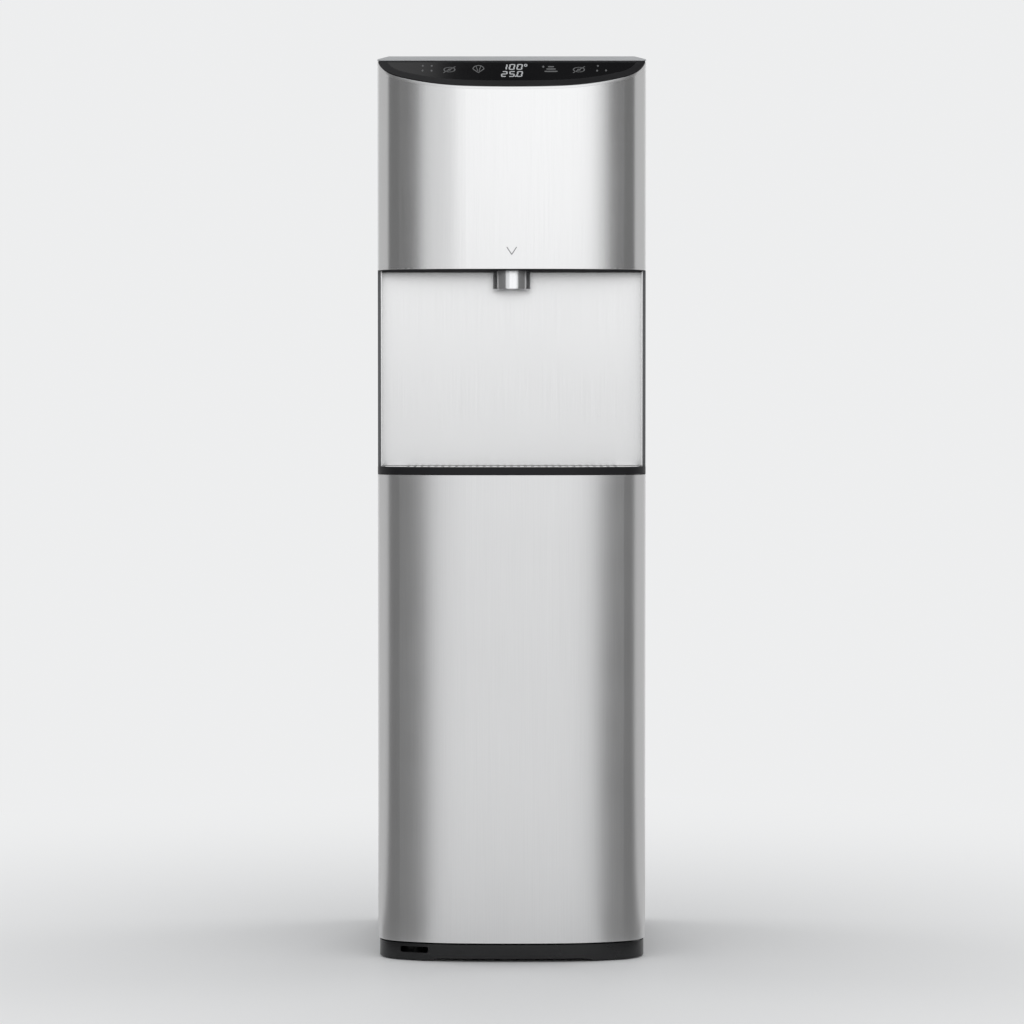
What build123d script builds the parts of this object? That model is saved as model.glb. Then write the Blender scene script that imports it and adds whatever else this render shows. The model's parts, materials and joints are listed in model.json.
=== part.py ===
from build123d import *
import math
import os

# Floor-standing, bottom-loading water dispenser, in millimetres.
# +Z is up, the bowed front faces -Y and the origin is under the middle of the whole outline.

# Overall outline
WIDTH = 310.0
DEPTH = 380.0
HEIGHT = 1040.0
WALL_STANDOFF = 39.0
FRONT_BOW = 58.0
CROWN_RADIUS = 1000.0
CROWN_TURN = 3.0
SHOULDER_TURN = 22.5
CORNER_TURN = 90.0

# Sheet, skin and moulding thicknesses
SHEET = 1.0
SKIN = 1.0
DECK = 2.0
CARRIER = 2.5
UNDERPLATE = 3.5
COVER = 5.0
COVER_EDGE = 1.5
COVER_SLOPE = 14.0
FIT = 0.3
SEAM = 0.5

# Levels of the main joints between the front pieces
PLINTH_TOP = 20.0
DOOR_LIFT = 2.0
HEAD_HEIGHT = 246.5
RECESS_HEIGHT = 233.0
TRAY_RISE = 7.5
PANEL_RISE = 33.0
PANEL_DEPTH = 50.0

# Plinth and feet
PLINTH_INSET = 2.0
PLINTH_WALL = 3.0
PLINTH_LIFT = 1.0
ARCH_RISE = 3.0
ARCH_FOOT = 55.0
ARCH_SLOPE = 18.0
FOOT_RADIUS = 16.0
FOOT_HEIGHT = 3.0
FOOT_FROM_SIDE = 37.0
FOOT_FROM_REAR = 31.0
NOTCH_WIDTH = 32.0
NOTCH_HEIGHT = 7.0
NOTCH_FROM_SIDE = 43.0
NOTCH_DROP = 7.0

# Side panels
HEM = 3.5
REAR_FLANGE = 14.0
SIDE_SETBACK = 5.5

# Bottle compartment
TRAY_FLOOR = 3.0
RIM_HEIGHT = 3.0
RIM_WALL = 3.0
RIM_FROM_SIDE = 13.0
RIM_FROM_REAR = 2.0
RIM_OPEN = 55.0

# Door
DOOR_SETBACK = 2.0
DOOR_TOP_GAP = 1.9
DOOR_HEM = 8.0
LINER_DEPTH = 18.0
LINER_WALL = 2.5
LINER_END = 13.0
LINER_SIDE = 27.0
HINGE_INSET = 11.0
HINGE_Y_AHEAD = 8.0
PIN_RADIUS = 3.0
PIN_LENGTH = 14.0
PIN_CLEARANCE = 0.08
HINGE_PLATE = 1.5
PLATE_INNER = 12.0
PLATE_OUTER = 4.0
PLATE_AHEAD = 6.0
PLATE_BEHIND = 16.0
MAGNET_LENGTH = 40.0
MAGNET_WIDTH = 9.0
MAGNET_SEAT = 5.0
MAGNET_INSET = 14.0
CATCH_WIDTH = 15.0
CATCH_LEG = 20.0
CATCH_GAP = 0.5

# Dispensing recess, tray and spout
RECESS_DEPTH = 110.0
RECESS_INSET = 3.5
TRAY_LIP = 3.2
TRAY_LIP_DROP = 3.3
TRAY_WALL = 2.0
TRAY_SIDE_GAP = 1.0
TRAY_BACK_GAP = 2.0
GRILLE = 1.6
GRILLE_SUNK = 0.4
GRILLE_LEDGE = 2.0
SLOT_WIDTH = 3.2
SLOT_LENGTH = 26.0
SLOT_PITCH = 8.0
SLOTS = 31
SLOT_ROWS = 2
SLOT_ROW_PITCH = 34.0
SPOUT_RADIUS = 22.5
SPOUT_WALL = 5.0
SPOUT_DROP = 21.5
SPOUT_FROM_FRONT = 65.0
SPOUT_EDGE = 1.2
NOZZLE_RADIUS = 7.0
NOZZLE_BORE = 4.0
NOZZLE_RECESS = 3.0

# Control panel
BEZEL = 4.0
BEZEL_INSET = 0.6
LENS = 2.2
LENS_FRONT = 10.0
LENS_BACK = 3.5
BOARD = 1.6
BOARD_DROP = 4.4
BOARD_FROM_SIDE = 55.0
BOARD_FRONT = 16.0
BOARD_BACK = 8.0
DISPLAY_HALF = 17.0
DISPLAY_FRONT = 17.0
DISPLAY_BACK = 7.0

# Head inside
SHELF = 2.0
SHELF_SETBACK = 10.0
COLD_FROM_SIDE = 6.0
TANKS_FROM_LANE = 16.0
TANKS_FROM_SWITCHES = 27.0
TANK_GAP = 19.0
FOAM = 7.0
FOAM_END = 16.0
COIL_TUBE = 4.0
COIL_TURNS = 5
COIL_GAP = 0.6
COIL_START = 9.0
HOT_FROM_SIDE = 12.0
JACKET = 8.0
JACKET_END = 18.0
HEATER_THICK = 4.0
HEATER_HEIGHT = 40.0
HEATER_LIFT = 14.0
TANK_WALL = 1.0
NECK_RADIUS = 6.0
NECK_RISE = 6.0
TUBE_RADIUS = 5.0
TUBE_BEND = 13.0
TUBE_CEILING = 34.0
TUBE_RISE = 24.0
VALVE_HALF = 42.0
VALVE_DEPTH = 26.0
VALVE_HEIGHT = 33.0
VALVE_AHEAD = 7.0
COIL_SPACING = 27.0
SOLENOID_RADIUS = 11.0
SOLENOID_HEIGHT = 35.0

# Deck bay: compressor, pump and boards
COMPRESSOR_FROM_SIDE = 99.0
COMPRESSOR_FROM_REAR = 100.0
COMPRESSOR_RADIUS = 58.0
BAY_HEADROOM = 68.5
COMPRESSOR_DOME = 26.0
COMPRESSOR_BAND = 2.5
COMPRESSOR_BAND_HEIGHT = 8.0
BASE_HALF_X = 72.0
BASE_HALF_Y = 62.0
BASE_PLATE = 3.0
GROMMET_RADIUS = 11.0
GROMMET_HEIGHT = 9.5
GROMMET_INSET = 13.0
PUMP_FROM_SIDE = 54.0
PUMP_BEHIND_RECESS = 70.0
PUMP_RADIUS = 24.0
PUMP_FOOT = 3.5
PUMP_HEAD = 26.0
MOTOR_RADIUS = 18.0
MOTOR_HEIGHT = 63.0
PUMP_STUB = 12.0
HOSE_PORT = 8.0
POWER_LIFT = 37.5
BOARD_LENGTH = 120.0
BOARD_HEIGHT = 100.0
BOARD_STAND = 4.0
CHIP_HIGH = 20.0
CHIP_LOW = 10.0
CAPACITORS = 3
POWER_BEHIND_RECESS = 80.0
DRIER_FROM_SIDE = 84.0
DRIER_FROM_REAR = 40.0
DRIER_RISE = 16.0
DRIER_RADIUS = 10.0
DRIER_LENGTH = 90.0
DRIER_SHOULDER = 6.5

# Bottle probe and its hose
PROBE_RADIUS = 6.0
PROBE_LIFT = 16.0
PROBE_HEADROOM = 120.5
CAP_FROM_WALL = 4.0
CAP_RADIUS = 28.0
CAP_HEIGHT = 20.0
CAP_NECK = 12.0
CAP_NECK_HEIGHT = 10.0
HANGER = 4.0
HANGER_HALF = 23.0
HANGER_PLAY = 1.0
HOSE_BEND = 30.0
HOSE_CEILING = 30.0

# Condenser on the rear
PIPE_RADIUS = 2.5
PIPE_STANDOFF = 27.0
PASS_PITCH = 42.0
CONDENSER_LIFT = 88.0
CONDENSER_HEADROOM = 30.5
PASS_FROM_RISER = 24.0
BEND_SHARE = 0.98
RISER_FROM_SIDE = 19.0
DISCHARGE_OFFSET = 42.0
DISCHARGE_LIFT = 49.5
RETURN_LIFT = 21.5
PIPE_BEND = 11.0
WIRE_RADIUS = 0.8
WIRE_FROM_BRACKET = 2.5
WIRE_PITCH = 10.0
WIRE_OVERHANG = 8.0
WIRE_TOUCH = 0.05
BRACKET_HALF = 6.0
BRACKET_TALL = 11.0
BRACKET_FROM_BEND = 1.0

# Rear fittings
GUARD_LAP = 10.0
LOUVRES = 9
LOUVRE_PITCH = 17.0
LOUVRE_HEIGHT = 5.0
LOUVRE_LENGTH = 60.0
LOUVRE_LIFT = 47.5
DRAIN_RISE = 20.0
DRAIN_SPIGOT = 9.0
DRAIN_FLANGE = 13.0
DRAIN_FLANGE_THICK = 3.0
DRAIN_REACH = 14.0
CAP_WALL = 3.0
GLAND_FROM_SIDE = 44.0
GLAND_LIFT = 92.5
GLAND_RADIUS = 9.0
GLAND_FLANGE = 4.0
GLAND_REACH = 14.0
GLAND_TIP = 6.0
GLAND_BORE = 3.5
SWITCH_FROM_SIDE = 59.0
SWITCH_LIFT = 104.5
SWITCH_SPACING = 30.0
SWITCH_PLATE_HALF = 31.0
SWITCH_PLATE_TALL = 17.5
SWITCH_PLATE = 2.0
SWITCH_BODY = 19.0
SWITCH_WALL = 1.5
ROCKER_HALF = 9.5
ROCKER_TALL = 10.5
ROCKER_PLAY = 0.5
ROCKER_ROOM = 2.5
ROCKER_TILT = 7.0
ROCKER_PIN = 1.5
ROCKER_BACK = 6.0
ROCKER_BASE = 8.0
ROCKER_PROUD = 6.5
ROCKER_DISH = 1.9
PIVOT_DEPTH = 2.0
SCREW_HEAD = 4.0
SCREW_HEAD_HEIGHT = 2.2
SCREW_SHANK = 1.8
SCREW_HOLE = 2.0
SCREW_LENGTH = 7.0
SCREW_FROM_EDGE = 7.0
SCREW_MARGIN = 40.0

# Places worked out from the sizes above: outline and levels
HALF = WIDTH / 2
FRONT = -DEPTH / 2
REAR = DEPTH / 2
BACK = REAR - WALL_STANDOFF
BACK_IN = BACK - SHEET
EDGE_Y = FRONT + FRONT_BOW
SIDE_FRONT = EDGE_Y + SIDE_SETBACK
HEAD_BACK = SIDE_FRONT - SEAM
DOOR_BACK = EDGE_Y + DOOR_SETBACK
INSIDE = HALF - SHEET
COVER_Z = HEIGHT - COVER
HEAD_Z = HEIGHT - HEAD_HEIGHT
DECK_Z = HEAD_Z - RECESS_HEIGHT
DECK_TOP = DECK_Z + DECK
TRAY_TOP = DECK_Z + TRAY_RISE
PANEL_FRONT_Z = COVER_Z - PANEL_RISE
PANEL_BACK = FRONT + PANEL_DEPTH
SLOPE = PANEL_RISE / PANEL_DEPTH
DOOR_Z = PLINTH_TOP + DOOR_LIFT
DOOR_TOP = DECK_Z - DOOR_TOP_GAP
RECESS_Y = FRONT + RECESS_DEPTH
SPOUT_Y = FRONT + SPOUT_FROM_FRONT
PLATE_TOP = HEAD_Z + UNDERPLATE
SHELF_Y = RECESS_Y + SHELF_SETBACK
SHELF_TOP = HEAD_Z + SHELF + SEAM
HINGE_X = HALF - HINGE_INSET
HINGE_Y = EDGE_Y - HINGE_Y_AHEAD
MAGNET_Z = (DOOR_Z + DOOR_TOP) / 2
RIM_RADIUS = INSIDE - RIM_FROM_SIDE
RIM_Y = BACK_IN - SHEET - RIM_RADIUS - RIM_FROM_REAR
BOARD_HALF = HALF - BOARD_FROM_SIDE

# Places of the tanks and tubes in the head
LANE_Y = RECESS_Y + SHEET + TUBE_RADIUS + SEAM
FOAM_FRONT = LANE_Y + TANKS_FROM_LANE + NECK_RISE
FOAM_RADIUS = (BACK - SWITCH_BODY - TANKS_FROM_SWITCHES - FOAM_FRONT) / 2
FOAM_BORE = FOAM_RADIUS - FOAM
COIL_RADIUS = FOAM_BORE - COIL_GAP - COIL_TUBE
COLD_RADIUS = COIL_RADIUS - COIL_TUBE - COIL_GAP
COLD_X = -INSIDE + COLD_FROM_SIDE + FOAM_RADIUS
COLD_Y = FOAM_FRONT + FOAM_RADIUS
JACKET_RADIUS = (INSIDE - HOT_FROM_SIDE - COLD_X - FOAM_RADIUS - TANK_GAP) / 2
JACKET_BORE = JACKET_RADIUS - JACKET
HOT_RADIUS = JACKET_BORE - FIT - HEATER_THICK
HOT_X = INSIDE - HOT_FROM_SIDE - JACKET_RADIUS
HOT_Y = COLD_Y
TUBE_TOP = COVER_Z - TUBE_CEILING
COLD_Z = SHELF_TOP + FOAM_END
HOT_Z = SHELF_TOP + JACKET_END
COLD_HEIGHT = TUBE_TOP - TUBE_RISE - NECK_RISE - FOAM_END - COLD_Z
HOT_HEIGHT = TUBE_TOP - TUBE_RISE - NECK_RISE - JACKET_END - HOT_Z
COIL_Z = COLD_Z + NECK_RADIUS * 2 + COIL_START
COIL_PITCH = (COLD_HEIGHT - 2 * (NECK_RADIUS * 2 + COIL_START)) / COIL_TURNS
TUBE_Z = COLD_Z + NECK_RADIUS + SEAM
VALVE_BACK = SPOUT_Y + VALVE_DEPTH - VALVE_AHEAD

# Places in the deck bay, in the compartment and on the rear
COMPRESSOR_X = INSIDE - COMPRESSOR_FROM_SIDE
COMPRESSOR_Y = BACK_IN - COMPRESSOR_FROM_REAR
BASE_Z = DECK_TOP + GROMMET_HEIGHT
SHELL_Z = BASE_Z + BASE_PLATE
SHELL_TOP = HEAD_Z - BAY_HEADROOM
PUMP_X = -INSIDE + PUMP_FROM_SIDE
PUMP_Y = RECESS_Y + PUMP_BEHIND_RECESS
PUMP_Z = DECK_TOP + PUMP_FOOT
STUB_Z = PUMP_Z + PUMP_HEAD / 2
FEED_Y = PUMP_Y - PUMP_RADIUS - PUMP_STUB - TUBE_BEND - SEAM
POWER_Z = DECK_TOP + POWER_LIFT
POWER_Y = RECESS_Y + POWER_BEHIND_RECESS
PROBE_X = -INSIDE + CAP_FROM_WALL + CAP_RADIUS
PROBE_Y = BACK_IN - SHEET - CAP_FROM_WALL - CAP_RADIUS
PROBE_Z = PLINTH_TOP + PROBE_LIFT
CAP_Z = DECK_Z - PROBE_HEADROOM
PIPE_Y = BACK + PIPE_STANDOFF
DISCHARGE_X = COMPRESSOR_X + DISCHARGE_OFFSET
DISCHARGE_Z = DECK_TOP + DISCHARGE_LIFT
RETURN_Z = DECK_TOP + RETURN_LIFT
DRIER_X = -INSIDE + DRIER_FROM_SIDE
DRIER_Y = BACK_IN - DRIER_FROM_REAR
DRIER_Z = RETURN_Z + DRIER_RISE
RISER_X = HALF - RISER_FROM_SIDE
PASS_HALF = RISER_X - PASS_FROM_RISER
CONDENSER_TOP = DECK_Z - CONDENSER_HEADROOM
PASSES = 1 + 2 * int((CONDENSER_TOP - PLINTH_TOP - CONDENSER_LIFT) / (2 * PASS_PITCH))
CONDENSER_LOW = CONDENSER_TOP - (PASSES - 1) * PASS_PITCH
BRACKET_X = PASS_HALF - PASS_PITCH / 2 - BRACKET_HALF - BRACKET_FROM_BEND
BRACKET_PASSES = (1, PASSES - 2)
WIRE_HALF = BRACKET_X - BRACKET_HALF - WIRE_FROM_BRACKET
GUARD_Z = DECK_Z + GUARD_LAP
LOUVRE_Z = GUARD_Z + LOUVRE_LIFT
DRAIN_Z = SHELL_TOP + DRAIN_RISE
GLAND_X = -INSIDE + GLAND_FROM_SIDE
GLAND_Z = DECK_TOP + GLAND_LIFT
SWITCH_X = -INSIDE + SWITCH_FROM_SIDE
SWITCH_Z = HEAD_Z + SWITCH_LIFT
NEW_PARTS = {}


def block(x0, x1, y0, y1, z0, z1):
    """A box given by its two corners."""
    middle = Pos((x0 + x1) / 2, (y0 + y1) / 2, (z0 + z1) / 2)
    return middle * Box(x1 - x0, y1 - y0, z1 - z0)


def post(x, y, z0, z1, radius):
    """A round bar standing along Z."""
    return Pos(x, y, (z0 + z1) / 2) * Cylinder(radius, z1 - z0)


def bar_y(x, z, y0, y1, radius):
    """A round bar lying along Y."""
    return Pos(x, (y0 + y1) / 2, z) * Rot(90, 0, 0) * Cylinder(radius, y1 - y0)


def bar_x(y, z, x0, x1, radius):
    """A round bar lying along X."""
    return Pos((x0 + x1) / 2, y, z) * Rot(0, 90, 0) * Cylinder(radius, x1 - x0)


def bow_radii():
    """Shoulder and corner radii that make the bow as wide and as deep as it is set."""
    sin_crown, cos_crown = math.sin(math.radians(CROWN_TURN)), math.cos(math.radians(CROWN_TURN))
    sin_turn, cos_turn = math.sin(math.radians(SHOULDER_TURN)), math.cos(math.radians(SHOULDER_TURN))
    wide = HALF - CROWN_RADIUS * sin_crown
    deep = FRONT_BOW - CROWN_RADIUS * (1 - cos_crown)
    scale = (sin_turn - sin_crown) * cos_turn - (1 - sin_turn) * (cos_crown - cos_turn)
    shoulder = (wide * cos_turn - (1 - sin_turn) * deep) / scale
    corner = ((sin_turn - sin_crown) * deep - (cos_crown - cos_turn) * wide) / scale
    return shoulder, corner


def bow_line(inset):
    """The bowed front seen from above, moved inwards: crown, shoulder and corner arcs, tangent."""
    shoulder, corner = bow_radii()
    spans = [(CROWN_RADIUS, 0, CROWN_TURN), (shoulder, CROWN_TURN, SHOULDER_TURN),
             (corner, SHOULDER_TURN, CORNER_TURN)]
    x, y = 0.0, FRONT + CROWN_RADIUS
    last = CROWN_RADIUS
    arcs = []
    for radius, turn, next_turn in spans:
        angle = math.radians(turn)
        x += (last - radius) * math.sin(angle)
        y -= (last - radius) * math.cos(angle)
        last = radius
        reach = radius - inset
        turns = [math.radians(t) for t in (turn, (turn + next_turn) / 2, next_turn)]
        points = [(x + reach * math.sin(t), y - reach * math.cos(t)) for t in turns]
        arcs.append(ThreePointArc(*points))
        arcs.append(ThreePointArc(*[(-px, py) for px, py in points]))
    return [edge for arc in arcs for edge in arc.edges()]


def bow_prism(inset, back, z0, z1):
    """A block with the bowed front, straight sides and a flat back."""
    reach = HALF - inset
    sides = Polyline((reach, EDGE_Y), (reach, back), (-reach, back), (-reach, EDGE_Y))
    face = Face(Wire(bow_line(inset) + list(sides.edges())))
    return extrude(Pos(0, 0, z0) * face, amount=z1 - z0, dir=(0, 0, 1))


def bow_shell(inset, wall, back, z0, z1):
    """A bowed wall, open at the back."""
    hollow = bow_prism(inset + wall, back + wall, z0 - wall, z1 + wall)
    return bow_prism(inset, back, z0, z1) - hollow


def slope_z(y):
    """Height of the sloping control panel's face at a depth."""
    return PANEL_FRONT_Z + (y - FRONT) * SLOPE


def slope_slab(low, high, y0, y1, reach):
    """A slab along the control panel's slope, between two heights off its face."""
    corners = [(y0, slope_z(y0) + low), (y1, slope_z(y1) + low),
               (y1, slope_z(y1) + high), (y0, slope_z(y0) + high)]
    face = Face(Wire(Polyline(*corners, close=True).edges()))
    return extrude(Plane.YZ * face, amount=reach, both=True)


def pipe(points, radius, bends):
    """A round tube along straight runs joined by tangent arcs."""
    path = FilletPolyline(*points, radius=bends)
    start = Plane(origin=path @ 0, z_dir=path % 0)
    return sweep(start * Circle(radius), path=path)


def keep(name, *solids):
    """Put one piece, or a group of equal pieces, under its name."""
    NEW_PARTS[name] = solids


def make_cabinet():
    """Plinth, feet, side panels, rear panels, decks and top cover."""
    keep("base_plinth", base_plinth())
    feet = []
    for x, y in foot_places():
        pad = post(x, y, 0, FOOT_HEIGHT, FOOT_RADIUS)
        feet.append(fillet(pad.edges().group_by(Axis.Z)[0], FOOT_HEIGHT / 4))
    keep("foot_pads", *feet)
    right = side_panel()
    keep("right_side_panel", right)
    keep("left_side_panel", mirror(right, Plane.YZ))
    keep("bottle_tray", bottle_tray())
    keep("mid_deck", mid_deck())
    keep("tank_shelf", tank_shelf())
    keep("rear_lower_panel", rear_panel(PLINTH_TOP, GUARD_Z))
    keep("compressor_guard", compressor_guard())
    keep("rear_upper_panel", rear_upper_panel())
    keep("top_cover", top_cover())
    keep("screws", *[screw(x, z) for x, z in screw_places()])


def foot_places():
    """Plan places of the four feet."""
    foot_x = HALF - FOOT_FROM_SIDE
    return [(x, y) for x in (-foot_x, foot_x) for y in (EDGE_Y, BACK - FOOT_FROM_REAR)]


def base_plinth():
    """Moulded base with an arched lower edge and a finger notch under the door."""
    rear = BACK_IN
    under = PLINTH_TOP - PLINTH_WALL
    body = bow_prism(PLINTH_INSET, rear, PLINTH_LIFT, PLINTH_TOP)
    body = fillet(body.edges().group_by(Axis.Z)[0], PLINTH_LIFT)
    body -= bow_prism(PLINTH_INSET + PLINTH_WALL, rear - PLINTH_WALL, -PLINTH_LIFT, under)
    low = -PLINTH_LIFT
    top = PLINTH_LIFT + ARCH_RISE
    half = HALF - ARCH_FOOT
    outline = Polyline((-half, low), (-half, PLINTH_LIFT), (ARCH_SLOPE - half, top),
                       (half - ARCH_SLOPE, top), (half, PLINTH_LIFT), (half, low), close=True)
    body -= extrude(Plane.XZ * Face(Wire(outline.edges())), amount=DEPTH, both=True)
    notch_x = NOTCH_FROM_SIDE - HALF
    notch_z = PLINTH_TOP - NOTCH_DROP
    notch = block(notch_x - NOTCH_WIDTH / 2, notch_x + NOTCH_WIDTH / 2, FRONT, EDGE_Y - FOOT_RADIUS,
                  notch_z - NOTCH_HEIGHT / 2, notch_z + NOTCH_HEIGHT / 2)
    body -= fillet(notch.edges().filter_by(Axis.Y), NOTCH_HEIGHT / 3)
    for x, y in foot_places():
        body += post(x, y, FOOT_HEIGHT, under + SEAM, FOOT_RADIUS)
    return body


def side_panel():
    """Right-hand side sheet with its front hem and rear flange."""
    sheet = block(INSIDE, HALF, SIDE_FRONT, BACK_IN, PLINTH_TOP, COVER_Z)
    sheet += block(HALF - HEM, HALF, SIDE_FRONT, SIDE_FRONT + SHEET, PLINTH_TOP, COVER_Z)
    sheet += block(HALF - REAR_FLANGE, HALF, BACK_IN - SHEET, BACK_IN, PLINTH_TOP, COVER_Z)
    corner = sheet.edges().filter_by(Axis.Z).sort_by(lambda edge: edge.center().X + edge.center().Y)[-1]
    return fillet(corner, SHEET / 2) - rear_holes()


def bottle_tray():
    """Compartment floor with a rim that centres the bottle."""
    top = PLINTH_TOP + TRAY_FLOOR
    front = SIDE_FRONT + HEM
    rear = BACK_IN - SHEET
    body = block(-INSIDE + SEAM, INSIDE - SEAM, front, rear, PLINTH_TOP, top)
    rim = post(0, RIM_Y, top, top + RIM_HEIGHT, RIM_RADIUS)
    rim -= post(0, RIM_Y, PLINTH_TOP, HEIGHT, RIM_RADIUS - RIM_WALL)
    rim -= block(-HALF, HALF, FRONT, RIM_Y - RIM_OPEN, PLINTH_TOP, HEIGHT)
    return body + rim


def mid_deck():
    """Steel deck over the bottle compartment, with the bowed front edge under the tray."""
    inset = TRAY_LIP + SEAM + FIT
    body = bow_prism(inset, SIDE_FRONT + SHEET + SEAM, DECK_Z, DECK_TOP)
    body += block(-INSIDE, INSIDE, SIDE_FRONT + SHEET + SEAM, BACK_IN - SHEET, DECK_Z, DECK_TOP)
    body -= post(PUMP_X, PUMP_Y, DECK_Z - DECK, DECK_TOP + DECK, HOSE_PORT)
    return body


def tank_shelf():
    """Steel shelf that carries both tanks behind the head's underplate."""
    low = SHELF_TOP - SHELF
    body = block(-INSIDE, INSIDE, SHELF_Y, BACK_IN - SHEET, low, SHELF_TOP)
    ports = [(HOT_X, HOT_Y), (COLD_X + COIL_RADIUS, COLD_Y), (PUMP_X, FEED_Y)]
    for x, y in ports:
        body -= post(x, y, low - SHELF, SHELF_TOP + SHELF, HOSE_PORT)
    return body


def screw_places():
    """Places of the rear screws: two a side on each rear panel."""
    places = []
    for low, high in ((PLINTH_TOP, GUARD_Z), (GUARD_Z, HEAD_Z), (HEAD_Z, COVER_Z)):
        for z in (low + SCREW_MARGIN, high - SCREW_MARGIN):
            places += [(-HALF + SCREW_FROM_EDGE, z), (HALF - SCREW_FROM_EDGE, z)]
    return places


def screw(x, z):
    """One pan-head sheet screw."""
    head = bar_y(x, z, BACK, BACK + SCREW_HEAD_HEIGHT, SCREW_HEAD)
    head = fillet(head.edges().group_by(Axis.Y)[-1], SCREW_HEAD_HEIGHT / 2)
    slot = block(x - SCREW_HEAD, x + SCREW_HEAD, BACK + SCREW_HEAD_HEIGHT / 2, BACK + SCREW_HEAD,
                 z - SCREW_HEAD_HEIGHT / 5, z + SCREW_HEAD_HEIGHT / 5)
    return head - slot + bar_y(x, z, BACK - SCREW_LENGTH, BACK, SCREW_SHANK)


def rear_holes():
    """Screw holes through the rear panels and the side flanges."""
    return [bar_y(x, z, BACK - SCREW_LENGTH, BACK + SHEET, SCREW_HOLE) for x, z in screw_places()]


def rear_panel(low, high):
    """Flat rear sheet between two heights."""
    return block(-INSIDE, INSIDE, BACK_IN, BACK, low, high) - rear_holes()


def compressor_guard():
    """Louvred rear sheet over the compressor bay, with holes for pipes, drain and lead."""
    body = rear_panel(GUARD_Z, HEAD_Z)
    for row in range(LOUVRES):
        z = LOUVRE_Z + row * LOUVRE_PITCH
        if z + LOUVRE_HEIGHT > DRAIN_Z - DRAIN_FLANGE:
            continue
        for x in (COMPRESSOR_X - LOUVRE_LENGTH - LOUVRE_HEIGHT, COMPRESSOR_X):
            louvre = Plane.XZ * SlotOverall(LOUVRE_LENGTH, LOUVRE_HEIGHT)
            cut = extrude(Pos(x + LOUVRE_LENGTH / 2, BACK, z) * louvre, amount=DECK, both=True)
            body -= cut
    body -= bar_y(HOT_X, DRAIN_Z, BACK_IN - SHEET, BACK + SHEET, TUBE_RADIUS + FIT)
    body -= bar_y(GLAND_X, GLAND_Z, BACK_IN - SHEET, BACK + SHEET, GLAND_TIP + FIT)
    body -= bar_y(DISCHARGE_X, DISCHARGE_Z, BACK_IN - SHEET, BACK + SHEET, PIPE_RADIUS + SEAM)
    body -= bar_y(-RISER_X, RETURN_Z, BACK_IN - SHEET, BACK + SHEET, PIPE_RADIUS + SEAM)
    return body


def rear_upper_panel():
    """Rear sheet behind the tanks, with the switch opening."""
    wide = SWITCH_PLATE_HALF - SWITCH_WALL
    tall = SWITCH_PLATE_TALL - SWITCH_WALL
    hole = block(SWITCH_X - wide, SWITCH_X + wide, BACK_IN - SHEET, BACK + SHEET,
                 SWITCH_Z - tall, SWITCH_Z + tall)
    return rear_panel(HEAD_Z, COVER_Z) - hole


def top_cover():
    """Lid with a straight front edge behind the control panel, sloping sides and two locating skirts."""
    body = bow_prism(0, BACK, COVER_Z, HEIGHT)
    body -= block(-WIDTH, WIDTH, FRONT - COVER, PANEL_BACK + FIT, COVER_Z - COVER, HEIGHT + COVER)
    outline = Polyline((HALF, COVER_Z + COVER_EDGE), (HALF, HEIGHT), (HALF - COVER_SLOPE, HEIGHT), close=True)
    wedge = extrude(Plane.XZ * Face(Wire(outline.edges())), amount=DEPTH, both=True)
    body -= [wedge, mirror(wedge, Plane.YZ)]
    body = fillet(body.edges().group_by(Axis.Z)[-1], COVER_EDGE)
    for side in (-1, 1):
        outer = side * (INSIDE - SEAM)
        inner = side * (INSIDE - SEAM - DECK)
        body += block(min(outer, inner), max(outer, inner), SIDE_FRONT + HEM, BACK_IN - REAR_FLANGE,
                      COVER_Z - COVER * 2, COVER_Z)
    return body


def make_door():
    """Bowed stainless door with its liner, hinges and magnetic catch."""
    skin = bow_shell(0, SKIN, DOOR_BACK, DOOR_Z, DOOR_TOP)
    inner_z = DOOR_Z + SKIN
    inner_top = DOOR_TOP - SKIN
    for low, high in ((DOOR_Z, inner_z), (inner_top, DOOR_TOP)):
        lip = bow_prism(SKIN, DOOR_BACK, low, high)
        lip -= bow_prism(SKIN + DOOR_HEM, DOOR_BACK + SKIN, low - SKIN, high + SKIN)
        lip -= post(HINGE_X, HINGE_Y, low - SKIN, high + SKIN, PIN_RADIUS * 2)
        skin += lip
    keep("door_skin", skin)
    keep("door_liner", door_liner(inner_z, inner_top))
    keep("door_magnet", magnet_block())
    keep("catch_plate", catch_plate())
    keep("door_hinges", hinge(PLINTH_TOP, 1), hinge(DECK_Z, -1))


def door_liner(low, high):
    """Moulded inner door: concave towards the bottle and hollow towards the skin."""
    body = bow_prism(SKIN, DOOR_BACK, low, high)
    room = (low + LINER_END, high - LINER_END)
    body -= bow_prism(LINER_DEPTH, DOOR_BACK + SKIN, *room)
    pocket = bow_prism(0, DOOR_BACK, *room) - bow_prism(LINER_DEPTH - LINER_WALL, DOOR_BACK, *room)
    pocket &= block(LINER_SIDE - HALF, HALF - LINER_SIDE, FRONT, DOOR_BACK, *room)
    body -= pocket
    bore = PIN_RADIUS + PIN_CLEARANCE
    body -= post(HINGE_X, HINGE_Y, low - SKIN, PLINTH_TOP + HINGE_PLATE + PIN_LENGTH + SEAM, bore)
    body -= post(HINGE_X, HINGE_Y, DECK_Z - HINGE_PLATE - PIN_LENGTH - SEAM, high + SKIN, bore)
    return body - magnet_block()


def magnet_block():
    """Bar magnet sunk in the liner's free edge and standing proud towards the cabinet."""
    x = -HALF + MAGNET_INSET
    return block(x - MAGNET_WIDTH, x, DOOR_BACK - MAGNET_SEAT, SIDE_FRONT + SEAM,
                 MAGNET_Z - MAGNET_LENGTH / 2, MAGNET_Z + MAGNET_LENGTH / 2)


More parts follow.
